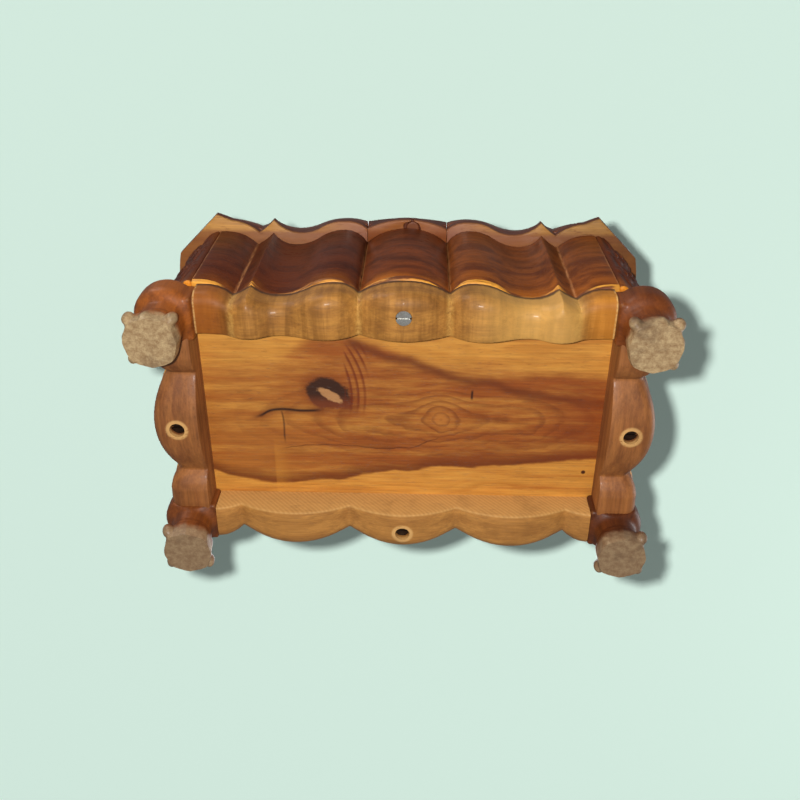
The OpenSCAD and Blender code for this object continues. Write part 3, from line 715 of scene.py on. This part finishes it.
def apron_figure(end):
    """Curly cross-grain, painted highlights down the valleys, the glue line at the leg and painted shade
    under the wall.
    """
    def paint(r, plain, base, grain, marks):
        x, _, z = r.split(plain)
        far = r.size(x)
        curl_noise = r.stretched(plain, (0.3, 0.03, 0.05), 3.0, 0.6)
        base = r.mix(r.rise(curl_noise, 0.34, 0.66), r.tinted(base, (0.66, 0.62, 0.55, 1)), base)
        base = r.laid(r.rise(far, 72.0, 82.0), 0.5, base, shade(206, 132, 30))
        base = r.mix(r.rise(x, -66.0, -80.0), base, r.tinted(base, (0.66, 0.52, 0.4, 1)))
        sunny = r.band(x, 20.0, 50.0, 70.0, 78.0)
        base = r.laid(sunny, 0.5, base, shade(234, 190, 118))
        breakup = r.noise(plain, 0.5, 4.0, 0.7)
        # painted highlights: pale lines down the valleys between the scallops
        for valley in (SLIDE_HIGH.x / MM, APRON_VALLEY):
            line = r.rise(r.size(r.minus(far, valley)), 2.6, 0.2)
            line = r.times(line, r.rise(breakup, 0.25, 0.7))
            base = r.laid(line, 0.6, base, shade(232, 190, 116))
        glue = r.times(r.rise(far, end - 0.9, end - 0.5), r.rise(breakup, 0.34, 0.56))
        base = r.laid(glue, 0.6, base, shade(222, 190, 140))
        # painted shade: a dark band along the top of the apron, under the overhang of the wall
        wall_shade_line = r.plus(z, r.scaled(breakup, 1.6, -0.8))
        return r.laid(r.rise(wall_shade_line, 30.6, 32.6), 0.85, base, shade(58, 28, 12))
    return paint


def dark_rim(under, dark):
    """The lid's mouldings: pale underneath, redder in the middle, painted shade along the wall and dark round
    the edge.
    """
    def paint(r, plain, base, grain, marks):
        x, y, z = r.split(plain)
        far = r.plus(r.size(x), r.scaled(grain["Streaks"], 30.0, -15.0))
        base = r.laid(r.rise(far, 62.0, 20.0), 0.75, base, shade(128, 66, 40))
        # painted shade: darker from y = -66.5 mm inward, where the mouldings meet the wall
        inward = r.scaled(marks["Scuffs"], 3.0, y)
        base = r.laid(r.rise(inward, -66.5, -63.0), 0.75, base, shade(118, 62, 32))
        base = r.mix(r.rise(x, 50.0, 90.0), base, r.tinted(base, (0.72, 0.72, 0.66, 1)))
        up = r.plus(z, r.scaled(marks["Scuffs"], 0.8, -0.4))
        return r.mix(r.rise(up, under, under + 1.2), base, dark)
    return paint


def red_right(r, plain, base, grain, marks):
    """The legs on the right are of redder, darker wood, and the back ones darker still."""
    x, y, _ = r.split(plain)
    base = r.mix(r.rise(x, -20.0, 20.0), base, r.tinted(base, (0.6, 0.55, 0.62, 1.0)))
    return r.mix(r.rise(y, 10.0, 40.0), base, r.tinted(base, (0.6, 0.58, 0.7, 1.0)))


def sawn_sole(r, plain, base, grain, marks):
    """Raw, rough-sawn wood on the soles, running a little up the sides of the feet."""
    _, y, z = r.split(plain)
    ragged = r.scaled(r.noise(plain, 0.3, 3.0, 0.6), 5.0, -2.5)
    bare = r.rise(r.plus(z, ragged), 8.0, 3.0)
    patches = r.noise(plain, 0.35, 4.0, 0.65)
    dust = r.noise(plain, 1.3, 4.0, 0.65)
    pale = r.mix(r.rise(patches, 0.25, 0.75), shade(142, 110, 74), shade(196, 168, 124))
    pale = r.laid(r.rise(dust, 0.4, 0.8), 0.5, pale, shade(112, 84, 56))
    pale = r.laid(r.rise(y, 20.0, 40.0), 0.55, pale, shade(104, 78, 60))
    pale = r.laid(marks["Grime"], 0.6, pale, shade(104, 78, 58))
    return r.mix(bare, base, pale)


BACK_APRON_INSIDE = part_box("back_apron")[0].y / MM


def saw_marks(r, plain, base, grain, marks):
    """Slanting marks of the saw on the rough inner face of the back apron."""
    x, y, z = r.split(plain)
    slant = r.scaled(z, 0.9, x)
    slant = r.scaled(marks["Scuffs"], 0.7, slant)
    ridge = r.size(r.minus(r.math("FRACT", r.over(slant, 2.3)), 0.5))
    inside = r.rise(y, BACK_APRON_INSIDE + 1.4, BACK_APRON_INSIDE + 0.6)
    pale = r.mix(r.rise(ridge, 0.1, 0.4), shade(194, 150, 98), shade(208, 164, 110))
    return r.laid(inside, 0.8, base, pale)


BARE = shade(226, 158, 58)
POST_SEAM = -WALL_LOW.x / MM
FRONT_SEAMS = (SLIDE_HIGH.x / MM + 0.2, WALL_VALLEY, POST_SEAM)
RED_VARNISH = {"coat": 0.03, "shine": 0.14, "varnish": (0.96, 0.74, 0.46, 1.0)}
WALL_FINISH = {"rings": 0.35, "streaks": 0.7, "gloss": 0.34, **RED_VARNISH}
WOODS = {
    "front_left": wood("front wall, dark end", (100, 50, 26), (70, 32, 18), (58, 24, 14),
                       ALONG_X, (3, 7, 1), 3.4, 4.0, 26.0, **WALL_FINISH,
                       extra=bare_foot(1.6, BARE, 0.25, FRONT_SEAMS)),
    "front_right": wood("front wall, light end", (138, 82, 38), (96, 50, 24), (78, 36, 18),
                        ALONG_X, (40, -12, 6), 3.6, 4.0, 30.0, **WALL_FINISH,
                        extra=bare_foot(1.8, BARE, 0.5, FRONT_SEAMS)),
    "slide": wood("sliding scallop", (122, 66, 32), (84, 40, 20), (62, 28, 16),
                  ALONG_X, (-20, 5, 12), 3.2, 4.0, 28.0, **WALL_FINISH,
                  extra=bare_foot(2.2, BARE, 0.7, FRONT_SEAMS)),
    "wall": wood("outer walls", (122, 64, 30), (84, 40, 20), (62, 28, 16),
                 ALONG_X, (10, 30, -4), 3.6, 4.0, 30.0, **WALL_FINISH,
                 extra=bare_foot(1.6, BARE, 0.3, (POST_SEAM,))),
    "end_wall": wood("end walls", (116, 60, 30), (78, 36, 18), (56, 24, 14),
                     ALONG_Y, (10, 30, -4), 3.6, 4.0, 30.0, **WALL_FINISH,
                     extra=bare_foot(1.6, BARE, 0.3)),
    "bare": wood("planed bare edge", (236, 172, 72), (212, 140, 52), (176, 98, 34),
                 ALONG_X, (0, 0, 0), 2.4, 3.0, 18.0, rings=0.5, gloss=0.45, coat=0.0, grime=0.5,
                 extra=stained_valleys),
    "front_apron": wood("front apron", (190, 138, 72), (150, 100, 46), (132, 82, 36),
                        ALONG_X, (14, 2, 3), 4.6, 3.0, 50.0, rings=0.2, streaks=0.4, gloss=0.5, coat=0.06,
                        extra=apron_figure(APRON_HIGH.x / MM)),
    "back_apron": wood("back apron", (184, 134, 76), (148, 98, 50), (128, 80, 38),
                       ALONG_X, (-14, 2, 3), 4.6, 3.0, 50.0, rings=0.2, streaks=0.4, gloss=0.5, coat=0.06,
                       extra=in_turn(saw_marks, lit_ring_round_screw(0.0, 56.0))),
    "end_apron": wood("end aprons", (158, 104, 62), (122, 72, 42), (96, 50, 28),
                      ALONG_Y, (5, 9, 3), 4.2, 3.0, 42.0, rings=0.25, streaks=0.5, gloss=0.5, coat=0.04,
                      extra=lit_ring_round_screw(100.6, 0.0)),
    "leg": wood("legs", (158, 92, 42), (112, 56, 24), (88, 42, 20),
                ALONG_Z, (5, 9, 3), 3.0, 3.0, 22.0, rings=0.3, gloss=0.46, coat=0.06, shine=0.3,
                varnish=(0.96, 0.82, 0.46, 1.0),
                carved=shade(196, 140, 84), extra=red_right, raw=sawn_sole),
    "corner": wood("corner posts", (98, 50, 26), (66, 30, 18), (48, 22, 14),
                   ALONG_Z, (2, 4, 3), 3.0, 3.0, 22.0, rings=0.4, gloss=0.4, **RED_VARNISH,
                   carved=shade(176, 116, 70), extra=bare_foot(0.9, BARE, 0.4)),
    "lid": wood("lid", (116, 60, 30), (78, 36, 18), (58, 26, 14),
                ALONG_X, (22, 5, 30), 4.6, 6.0, 60.0, rings=0.5, streaks=0.6, gloss=0.32, coat=0.3),
    "moulding": wood("lid mouldings", (190, 142, 76), (146, 98, 48), (124, 76, 38),
                     ALONG_X, (2, 15, 30), 3.6, 4.0, 40.0, rings=0.3, streaks=0.5, gloss=0.42, coat=0.1,
                     extra=dark_rim(RIM_START, shade(92, 44, 24))),
    "bottom": wood("bottom board", (202, 146, 72), (176, 112, 44), (180, 118, 48),
                   ALONG_X, (0, 0, 0), 3.0, 5.0, 36.0, rings=0.4, streaks=0.45, gloss=0.42, coat=0.12,
                   grime=0.15, extra=board_figure),
    "inner": wood("inner boards", (190, 134, 76), (154, 98, 48), (132, 80, 38),
                  ALONG_X, (0, 8, 0), 3.6, 5.0, 36.0, rings=0.5, gloss=0.55, coat=0.05),
    "tray": wood("tray", (212, 168, 104), (182, 132, 70), (160, 110, 56),
                 ALONG_X, (8, 0, 3), 2.6, 3.0, 26.0, rings=0.5, gloss=0.6, coat=0.0),
}


# ---- metals ----
def metal(name, bright, dull, tarnish, roughness, dark_behind=None):
    material, r, shader = start_material(name)
    plain, _ = places(r, ALONG_X)
    marks = use_group(r, HANDLING, Place=plain)
    fine = r.noise(plain, 2.6, 4.0, 0.7)
    colour = r.mix(r.rise(fine, 0.35, 0.7), bright, dull)
    spots = r.math("MAXIMUM", marks["Grime"], r.times(marks["Specks"], 0.8))
    colour = r.laid(spots, 0.7, colour, tarnish)
    if dark_behind is not None:
        _, y, _ = r.split(plain)
        behind = r.rise(y, dark_behind, dark_behind + 4.0)
        colour = r.mix(behind, colour, r.mix(fine, shade(34, 26, 22), shade(74, 58, 46)))
    r.feed(shader.inputs["Base Color"], colour)
    r.feed(shader.inputs["Metallic"], r.scaled(spots, -0.35, 0.95))
    r.feed(shader.inputs["Roughness"], r.scaled(fine, 0.35, roughness))
    raised(r, shader, fine, 0.04 * MM, 0.6)
    return material


BRASS = metal("brass", shade(214, 172, 88), shade(170, 128, 60), shade(92, 66, 34), 0.22)
STEEL = metal("screw steel", shade(196, 196, 190), shade(140, 138, 132), shade(96, 70, 48), 0.3)
BASE_STEEL = metal("base screw steel", shade(196, 196, 190), shade(140, 138, 132), shade(96, 70, 48),
                   0.3, dark_behind=-48.0)


# ---- boards that keep the shape of their CAD solid ----
FRONT = Vector((0, -1, 0))
BACK = Vector((0, 1, 0))
LEFT = Vector((-1, 0, 0))
RIGHT = Vector((1, 0, 0))
FOOT_BEVEL = 2.3 * MM

WALLS = [
    ("front_left_wall", "box", FRONT, "front_left"),
    ("front_right_wall", "box", FRONT, "front_right"),
    ("front_slide", "front_panel", FRONT, "slide"),
    ("back_wall", "box", BACK, "wall"),
    ("left_wall", "box", LEFT, "end_wall"),
    ("right_wall", "box", RIGHT, "end_wall"),
    ("drawer_front", "key_drawer", RIGHT, "end_wall"),
]
for node, body, outward, finish in WALLS:
    wall = from_cad(node, node + "_shaped")
    chamfer_lower_edge(wall, outward, FOOT_BEVEL)
    ease_edges(wall)
    fit(wall, body, "wall_wood", [node], WOODS[finish], WOODS["bare"])

APRONS = [
    ("front_apron", FRONT, "front_apron"),
    ("back_apron", BACK, "back_apron"),
    ("left_apron", LEFT, "end_apron"),
    ("right_apron", RIGHT, "end_apron"),
]
SCREW_LOW, SCREW_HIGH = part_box("base_screws")
SCREW_HOLE = 3.4 * MM
HEAD_RADIUS = 3.3 * MM
APRON_ROLL = 5.5 * MM
SCREW_PLACES = {
    "front_apron": (0, SCREW_LOW.y + HEAD_RADIUS),
    "back_apron": (0, SCREW_HIGH.y - HEAD_RADIUS),
    "left_apron": (SCREW_LOW.x + HEAD_RADIUS, 0),
    "right_apron": (SCREW_HIGH.x - HEAD_RADIUS, 0),
}
for node, outward, finish in APRONS:
    apron = rolled_apron(node, node + "_shaped", outward, APRON_ROLL)
    x, y = SCREW_PLACES[node]
    bpy.ops.mesh.primitive_cylinder_add(vertices=32, radius=SCREW_HOLE, depth=12 * MM,
                                        location=(x, y, APRON_LOW.z))
    drill = just_made()
    apply_modifier(apron, "BOOLEAN", object=drill, operation="DIFFERENCE", solver="EXACT")
    bpy.data.objects.remove(drill)
    soften(apron, 40)
    fit(apron, "box", finish + "_wood", [node], WOODS[finish])


# ---- carved legs ----
def cube_between(low, high, round_off, segments=4):
    middle = [(a + b) / 2 for a, b in zip(low, high)]
    bpy.ops.mesh.primitive_cube_add(size=1, location=middle)
    piece = just_made()
    piece.scale = [b - a for a, b in zip(low, high)]
    place_in_mesh(piece)
    apply_modifier(piece, "BEVEL", width=round_off, segments=segments, limit_method="NONE")
    return piece


def drum(place, radius, low, high, round_off, sides=40):
    bpy.ops.mesh.primitive_cylinder_add(vertices=sides, radius=radius, depth=high - low,
                                        location=(place[0], place[1], (low + high) / 2))
    piece = just_made()
    place_in_mesh(piece)
    apply_modifier(piece, "BEVEL", width=round_off, segments=5, limit_method="ANGLE",
                   angle_limit=math.radians(50))
    return piece


def pebble(place, radii, turn=(0, 0, 0)):
    bpy.ops.mesh.primitive_uv_sphere_add(segments=20, ring_count=12, radius=1, location=place,
                                         rotation=turn)
    piece = just_made()
    piece.scale = radii
    place_in_mesh(piece)
    return piece


def curl(place, radius, thick, turn=(0, 0, 0)):
    bpy.ops.mesh.primitive_torus_add(major_radius=radius, minor_radius=thick, major_segments=32,
                                     minor_segments=10, location=place, rotation=turn)
    piece = just_made()
    place_in_mesh(piece)
    return piece


def cut_off(piece, place, normal):
    """Saws a piece at a plane, drops what the normal points to and closes the cut."""
    editing(piece)
    bpy.ops.mesh.select_all(action="SELECT")
    bpy.ops.mesh.bisect(plane_co=place, plane_no=normal, clear_outer=True, use_fill=True,
                        threshold=0.001 * MM)
    done_editing()


def melt(piece, grain, rounds):
    """Runs joined shapes into one skin, as if carved from one block."""
    apply_modifier(piece, "REMESH", mode="VOXEL", voxel_size=grain)
    apply_modifier(piece, "SMOOTH", factor=0.5, iterations=rounds)


def carve_away(piece, *tools):
    for tool in tools:
        apply_modifier(piece, "BOOLEAN", object=tool, operation="DIFFERENCE", solver="EXACT")
        bpy.data.objects.remove(tool)


LEG_AXIS = Vector((LEG_HIGH.x - 14 * MM, LEG_LOW.y + 14 * MM, 0))
BLOCK_X = LEG_LOW.x
BLOCK_Y = LEG_HIGH.y
BLOCK = 19.5 * MM
FOOT = 9.6 * MM
FOOT_TOP = 10 * MM
KNEE_R = 13.6 * MM
SHIN_R = 9.4 * MM
EAR_REACH = 8.7 * MM
TOE_REACH = 9.2 * MM
NOTCH_REACH = 12.9 * MM
LEAN_HEIGHT = 20 * MM


def make_leg():
    """The leg of the +X, -Y corner: block, pillow knee, ankle and a clawed foot."""
    x, y = LEG_AXIS.x, LEG_AXIS.y
    top = LEG_HIGH.z
    knee = drum((x, y), KNEE_R, 17 * MM, top + 1 * MM, 5.5 * MM)
    shin = drum((x, y), SHIN_R, 5 * MM, 22 * MM, 2 * MM)
    upper = joined("upper", knee, shin)
    melt(upper, 0.9 * MM, 4)
    cut_off(upper, (0, 0, top), (0, 0, 1))
    cut_off(upper, (BLOCK_X, 0, 0), (-1, 0, 0))
    cut_off(upper, (0, BLOCK_Y, 0), (0, 1, 0))
    block = cube_between((BLOCK_X, BLOCK_Y - BLOCK, APRON_LOW.z + 2.6 * MM),
                         (BLOCK_X + BLOCK, BLOCK_Y, top), 1.2 * MM)
    foot = drum((x, y), FOOT * 1.15, -3 * MM, FOOT_TOP, 3.4 * MM, 12)
    pad = cube_between((x - FOOT, y - FOOT, -2.4 * MM), (x + FOOT, y + FOOT, FOOT_TOP), 4.2 * MM)
    ears = [pebble((x + a * EAR_REACH, y + b * EAR_REACH, h * MM), mm(2.5, 2.5, 3.4))
            for a, b, h in ((1, -1, 4.2), (-1, -1, 4.6), (1, 1, 4.4))]
    toes = [pebble((x + TOE_REACH * math.cos(a), y + TOE_REACH * math.sin(a), 3.6 * MM),
                   mm(2.6, 2.6, 4.6)) for a in map(math.radians, (-80, -10))]
    heel = curl((x, y, 9.5 * MM), 8.2 * MM, 2.0 * MM)
    leg = joined("leg", upper, block, foot, pad, heel, *ears, *toes)
    melt(leg, 0.62 * MM, 2)
    notches = [drum((x + NOTCH_REACH * math.cos(a), y + NOTCH_REACH * math.sin(a)), 1.3 * MM,
                    -4 * MM, 11 * MM, 0.3 * MM, 12) for a in map(math.radians, (-64, -26, 18, -108))]
    carve_away(leg, *notches)
    cut_off(leg, (0, 0, 0), (0, 0, -1))
    return leg


def lean(piece, shift):
    """Moves a foot sideways, less and less towards the knee."""
    for vertex in piece.data.vertices:
        share = max(0.0, 1 - vertex.co.z / LEAN_HEIGHT)
        vertex.co.x += shift[0] * MM * share
        vertex.co.y += shift[1] * MM * share


pattern_leg = make_leg()
LEGS = [
    ("front_right_leg", False, False, (0.3, 1.2)),
    ("front_left_leg", True, False, (-1.4, 2.0)),
    ("back_right_leg", False, True, (0.6, 2.0)),
    ("back_left_leg", True, True, (1.4, 3.2)),
]
for node, flip_x, flip_y, shift in LEGS:
    leg = mirrored(pattern_leg, node + "_carved", flip_x, flip_y)
    lean(leg, shift)
    soften(leg, 50)
    for face in leg.data.polygons:
        if face.normal.z < -0.98 and face.center.z < 0.05 * MM:
            face.use_smooth = False
    fit(leg, "box", "leg_wood", [node], WOODS["leg"])
bpy.data.objects.remove(pattern_leg)


# ---- carved corner posts ----
DIAGONAL_A = Vector((93.5, -64.4, 0)) * MM
DIAGONAL_B = Vector((107.0, -51.5, 0)) * MM


def make_corner():
    """The +X, -Y corner post with scrolls and leaves down its diagonal face."""
    post = from_cad("front_right_corner", "post")
    apply_modifier(post, "BEVEL", width=0.9 * MM, segments=3, limit_method="ANGLE",
                   angle_limit=math.radians(25))
    along = (DIAGONAL_B - DIAGONAL_A).normalized()
    out = Vector((along.y, -along.x, 0))
    heading = math.atan2(out.y, out.x)
    facing = (0, math.radians(90), heading)
    middle = (DIAGONAL_A + DIAGONAL_B) / 2
    foot = WALL_LOW.z
    parts = [post]
    for step, side in enumerate((1, -1, 1, -1, 1)):
        z = foot + (12 + 11.2 * step) * MM
        centre = middle + along * side * 3.4 * MM + Vector((0, 0, z)) - out * 0.2 * MM
        parts.append(curl(centre, 3.9 * MM, 1.35 * MM, facing))
        parts.append(pebble(centre + out * 0.4 * MM, mm(1.5, 1.5, 1.5)))
        leaf = middle - along * side * 4.6 * MM + Vector((0, 0, z + 3.2 * MM)) - out * 0.3 * MM
        tilt = math.radians(28 * side)
        turned = Euler((0, 0, heading)).to_matrix() @ Euler((tilt, 0, 0)).to_matrix()
        parts.append(pebble(leaf, mm(1.3, 1.7, 6.0), turned.to_euler()))
        edge = middle + along * side * 8.3 * MM + Vector((0, 0, z - 4 * MM)) - out * 0.8 * MM
        parts.append(pebble(edge, mm(1.6, 1.6, 3.6), (0, 0, heading)))
    corner = joined("corner", *parts)
    melt(corner, 0.6 * MM, 2)
    return corner


pattern_corner = make_corner()
CORNERS = [("front_right_corner", False, False), ("front_left_corner", True, False),
           ("back_right_corner", False, True), ("back_left_corner", True, True)]
for node, flip_x, flip_y in CORNERS:
    corner = mirrored(pattern_corner, node + "_carved", flip_x, flip_y)
    soften(corner, 50)
    fit(corner, "box", "wall_wood", [node], WOODS["corner"])
bpy.data.objects.remove(pattern_corner)


# ---- lid ----
FIELD_EASE = 0.8 * MM
LID_EASE = 0.3 * MM
CAP_EASE = 0.4 * MM
CAP_HOLE = mm(2.4, -66.2)
CAP_HOLE_RADIUS = 4.3 * MM
PLUG_RADIUS = 3.3 * MM
LID_PIECES = ["lid_front_left_moulding", "lid_front_right_moulding", "lid_back_moulding",
              "lid_left_moulding", "lid_right_moulding", "lid_board", "lid_raised_field"]
for node in LID_PIECES:
    piece = from_cad(node, node + "_shaped")
    ease_edges(piece, FIELD_EASE if node == "lid_raised_field" else LID_EASE)
    fit(piece, "lid", "lid_wood", [node], WOODS["moulding" if "moulding" in node else "lid"])
cap = from_cad("slide_cap", "slide_cap_shaped")
ease_edges(cap, CAP_EASE)
carve_away(cap, drum(CAP_HOLE, CAP_HOLE_RADIUS, 90 * MM, 101.6 * MM, 0.6 * MM, 24))
plug = drum((CAP_HOLE[0] + 0.3 * MM, CAP_HOLE[1]), PLUG_RADIUS, 100 * MM, 102.5 * MM, 0.8 * MM, 24)
cap = joined("slide_cap_shaped", cap, plug)
fit(cap, "front_panel", "lid_wood", ["slide_cap"], WOODS["moulding"])


# ---- parts shown as designed ----
def dress(finish, *nodes):
    """Gives a finish to CAD nodes that show as they are."""
    for node in nodes:
        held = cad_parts[node]
        held.data.materials.clear()
        held.data.materials.append(finish)


dress(WOODS["bottom"], "bottom_panel")
dress(WOODS["inner"], "false_floor", "drawer_guides", "drawer_stop", "lock_panel")
dress(WOODS["tray"], "drawer_bottom", "drawer_left_side", "drawer_right_side", "drawer_back",
      "slide_runners")
dress(BRASS, "key", "escutcheon", "escutcheon_pins", "lock_case", "lock_screws", "strike_plate",
      "strike_screws", "left_hinge_wall_leaf", "right_hinge_wall_leaf", "left_hinge_lid_leaf",
      "right_hinge_lid_leaf", "hinge_pins", "hinge_wall_screws", "hinge_lid_screws")
dress(STEEL, "lock_bolt")
dress(BASE_STEEL, "base_screws")


# ---- camera ----
def added(name, data):
    """A new object in the scene that shows data."""
    thing = bpy.data.objects.new(name, data)
    bpy.context.scene.collection.objects.link(thing)
    return thing


SENSOR = 36.0
LENS = 39.26
camera_data = bpy.data.cameras.new("camera")
camera_data.sensor_width = SENSOR
camera_data.lens = LENS
camera_data.clip_start = 0.01
camera = added("camera", camera_data)
CAMERA_PLACE = Vector((5.72, -205.74, -310.97)) * MM
CAMERA_RIGHT = Vector((0.99970, -0.00409, 0.02396))
CAMERA_UP = Vector((-0.01549, -0.86690, 0.49825))
CAMERA_BACK = CAMERA_RIGHT.cross(CAMERA_UP)
turn = Matrix((CAMERA_RIGHT, CAMERA_UP, CAMERA_BACK)).transposed()
camera.matrix_world = Matrix.Translation(CAMERA_PLACE) @ turn.to_4x4()
bpy.context.scene.camera = camera


# ---- stage and light ----
MINT = shade(213, 236, 223)
CEILING_Z = 0.42
AMBIENT_SHARE = 0.2
CEILING_PALENESS = 0.745
LAMP_RADIUS = 0.0045
LAMP_WATTS = 10.0
LAMP_STRENGTH = 4.2
ROOM_LIGHT = (0.9, 0.92, 0.95, 1.0)
ROOM_STRENGTH = 0.24


def sheet(name, low, high, z, facing_down):
    """A flat sheet of the stage that only the camera sees, so it casts and mirrors nothing."""
    bpy.ops.mesh.primitive_plane_add(size=1, location=((low[0] + high[0]) / 2, (low[1] + high[1]) / 2, z))
    plane = just_made()
    plane.name = name
    plane.scale = (high[0] - low[0], high[1] - low[1], 1)
    if facing_down:
        plane.rotation_euler = (math.pi, 0, 0)
    place_in_mesh(plane)
    for ray in ("diffuse", "glossy", "transmission", "shadow"):
        setattr(plane, "visible_" + ray, False)
    return plane


def one_sided(name, colour, evened=None):
    """A matt paper seen only from its front; evened spreads a near lamp's light evenly."""
    material, r = blank_material(name)
    paper = r.add("ShaderNodeBsdfDiffuse")
    clear = r.add("ShaderNodeBsdfTransparent")
    choice = r.add("ShaderNodeMixShader")
    output = r.add("ShaderNodeOutputMaterial")
    r.feed(choice.inputs[0], r.add("ShaderNodeNewGeometry").outputs["Backfacing"])
    r.feed(choice.inputs[1], paper.outputs[0])
    r.feed(choice.inputs[2], clear.outputs[0])
    r.feed(output.inputs["Surface"], choice.outputs[0])
    if evened is None:
        paper.inputs["Color"].default_value = colour
    else:
        coords = r.add("ShaderNodeTexCoord").outputs["Object"]
        reach = r.vector("LENGTH", r.vector("SUBTRACT", coords, evened))
        slant = r.over(CEILING_Z - evened[2], reach)
        lit = r.scaled(slant, 1 - AMBIENT_SHARE, AMBIENT_SHARE)
        gain = r.over(CEILING_PALENESS, lit)
        r.feed(paper.inputs["Color"], r.tinted(colour, r.join(gain, gain, gain)))
    return material


LAMP_PLACE = CAMERA_PLACE - CAMERA_RIGHT * 0.018 + CAMERA_UP * 0.0065
floor = sheet("floor", (-3, -3), (3, 3), 0.0, False)
floor.data.materials.append(one_sided("pale floor", MINT))
ceiling = sheet("backdrop", (-0.6, -0.25), (0.6, 0.95), CEILING_Z, True)
ceiling.data.materials.append(one_sided("backdrop paper", MINT, tuple(LAMP_PLACE)))

lamp_data = bpy.data.lights.new("near lamp", "POINT")
lamp_data.energy = LAMP_WATTS
lamp_data.shadow_soft_size = LAMP_RADIUS
lamp_data.use_nodes = True
lamp_r = Recipe(lamp_data.node_tree)
falloff = lamp_r.add("ShaderNodeLightFalloff")
falloff.inputs["Strength"].default_value = LAMP_STRENGTH
lamp_r.feed(lamp_data.node_tree.nodes["Emission"].inputs["Strength"], falloff.outputs["Constant"])
lamp = added("near lamp", lamp_data)
lamp.location = LAMP_PLACE
lamp.visible_camera = False


def soft_light(name, place, aim, width, watts):
    data = bpy.data.lights.new(name, "AREA")
    data.shape = "DISK"
    data.size = width
    data.energy = watts
    light = added(name, data)
    light.location = place
    light.rotation_euler = (Vector(aim) - Vector(place)).to_track_quat("-Z", "Y").to_euler()
    light.visible_camera = False


MIDDLE = (0, 0, 0.055)
soft_light("front softbox", (-0.7, -1.1, 0.42), MIDDLE, 0.7, 6)
soft_light("overhead softbox", (0.1, 0.45, 1.0), MIDDLE, 0.8, 10)
soft_light("right softbox", (1.1, 0.3, 0.4), MIDDLE, 0.7, 5)

world = bpy.data.worlds.new("studio")
bpy.context.scene.world = world
world.use_nodes = True
world.node_tree.nodes.clear()
world_r = Recipe(world.node_tree)
seen = world_r.add("ShaderNodeBackground")
felt = world_r.add("ShaderNodeBackground")
seen.inputs["Color"].default_value = MINT
felt.inputs["Color"].default_value = ROOM_LIGHT
felt.inputs["Strength"].default_value = ROOM_STRENGTH
pick_world = world_r.add("ShaderNodeMixShader")
world_out = world_r.add("ShaderNodeOutputWorld")
is_seen = world_r.add("ShaderNodeLightPath").outputs["Is Camera Ray"]
world_r.feed(pick_world.inputs[0], is_seen)
world_r.feed(pick_world.inputs[1], felt.outputs[0])
world_r.feed(pick_world.inputs[2], seen.outputs[0])
world_r.feed(world_out.inputs["Surface"], pick_world.outputs[0])
bpy.context.scene.view_settings.view_transform = "Standard"
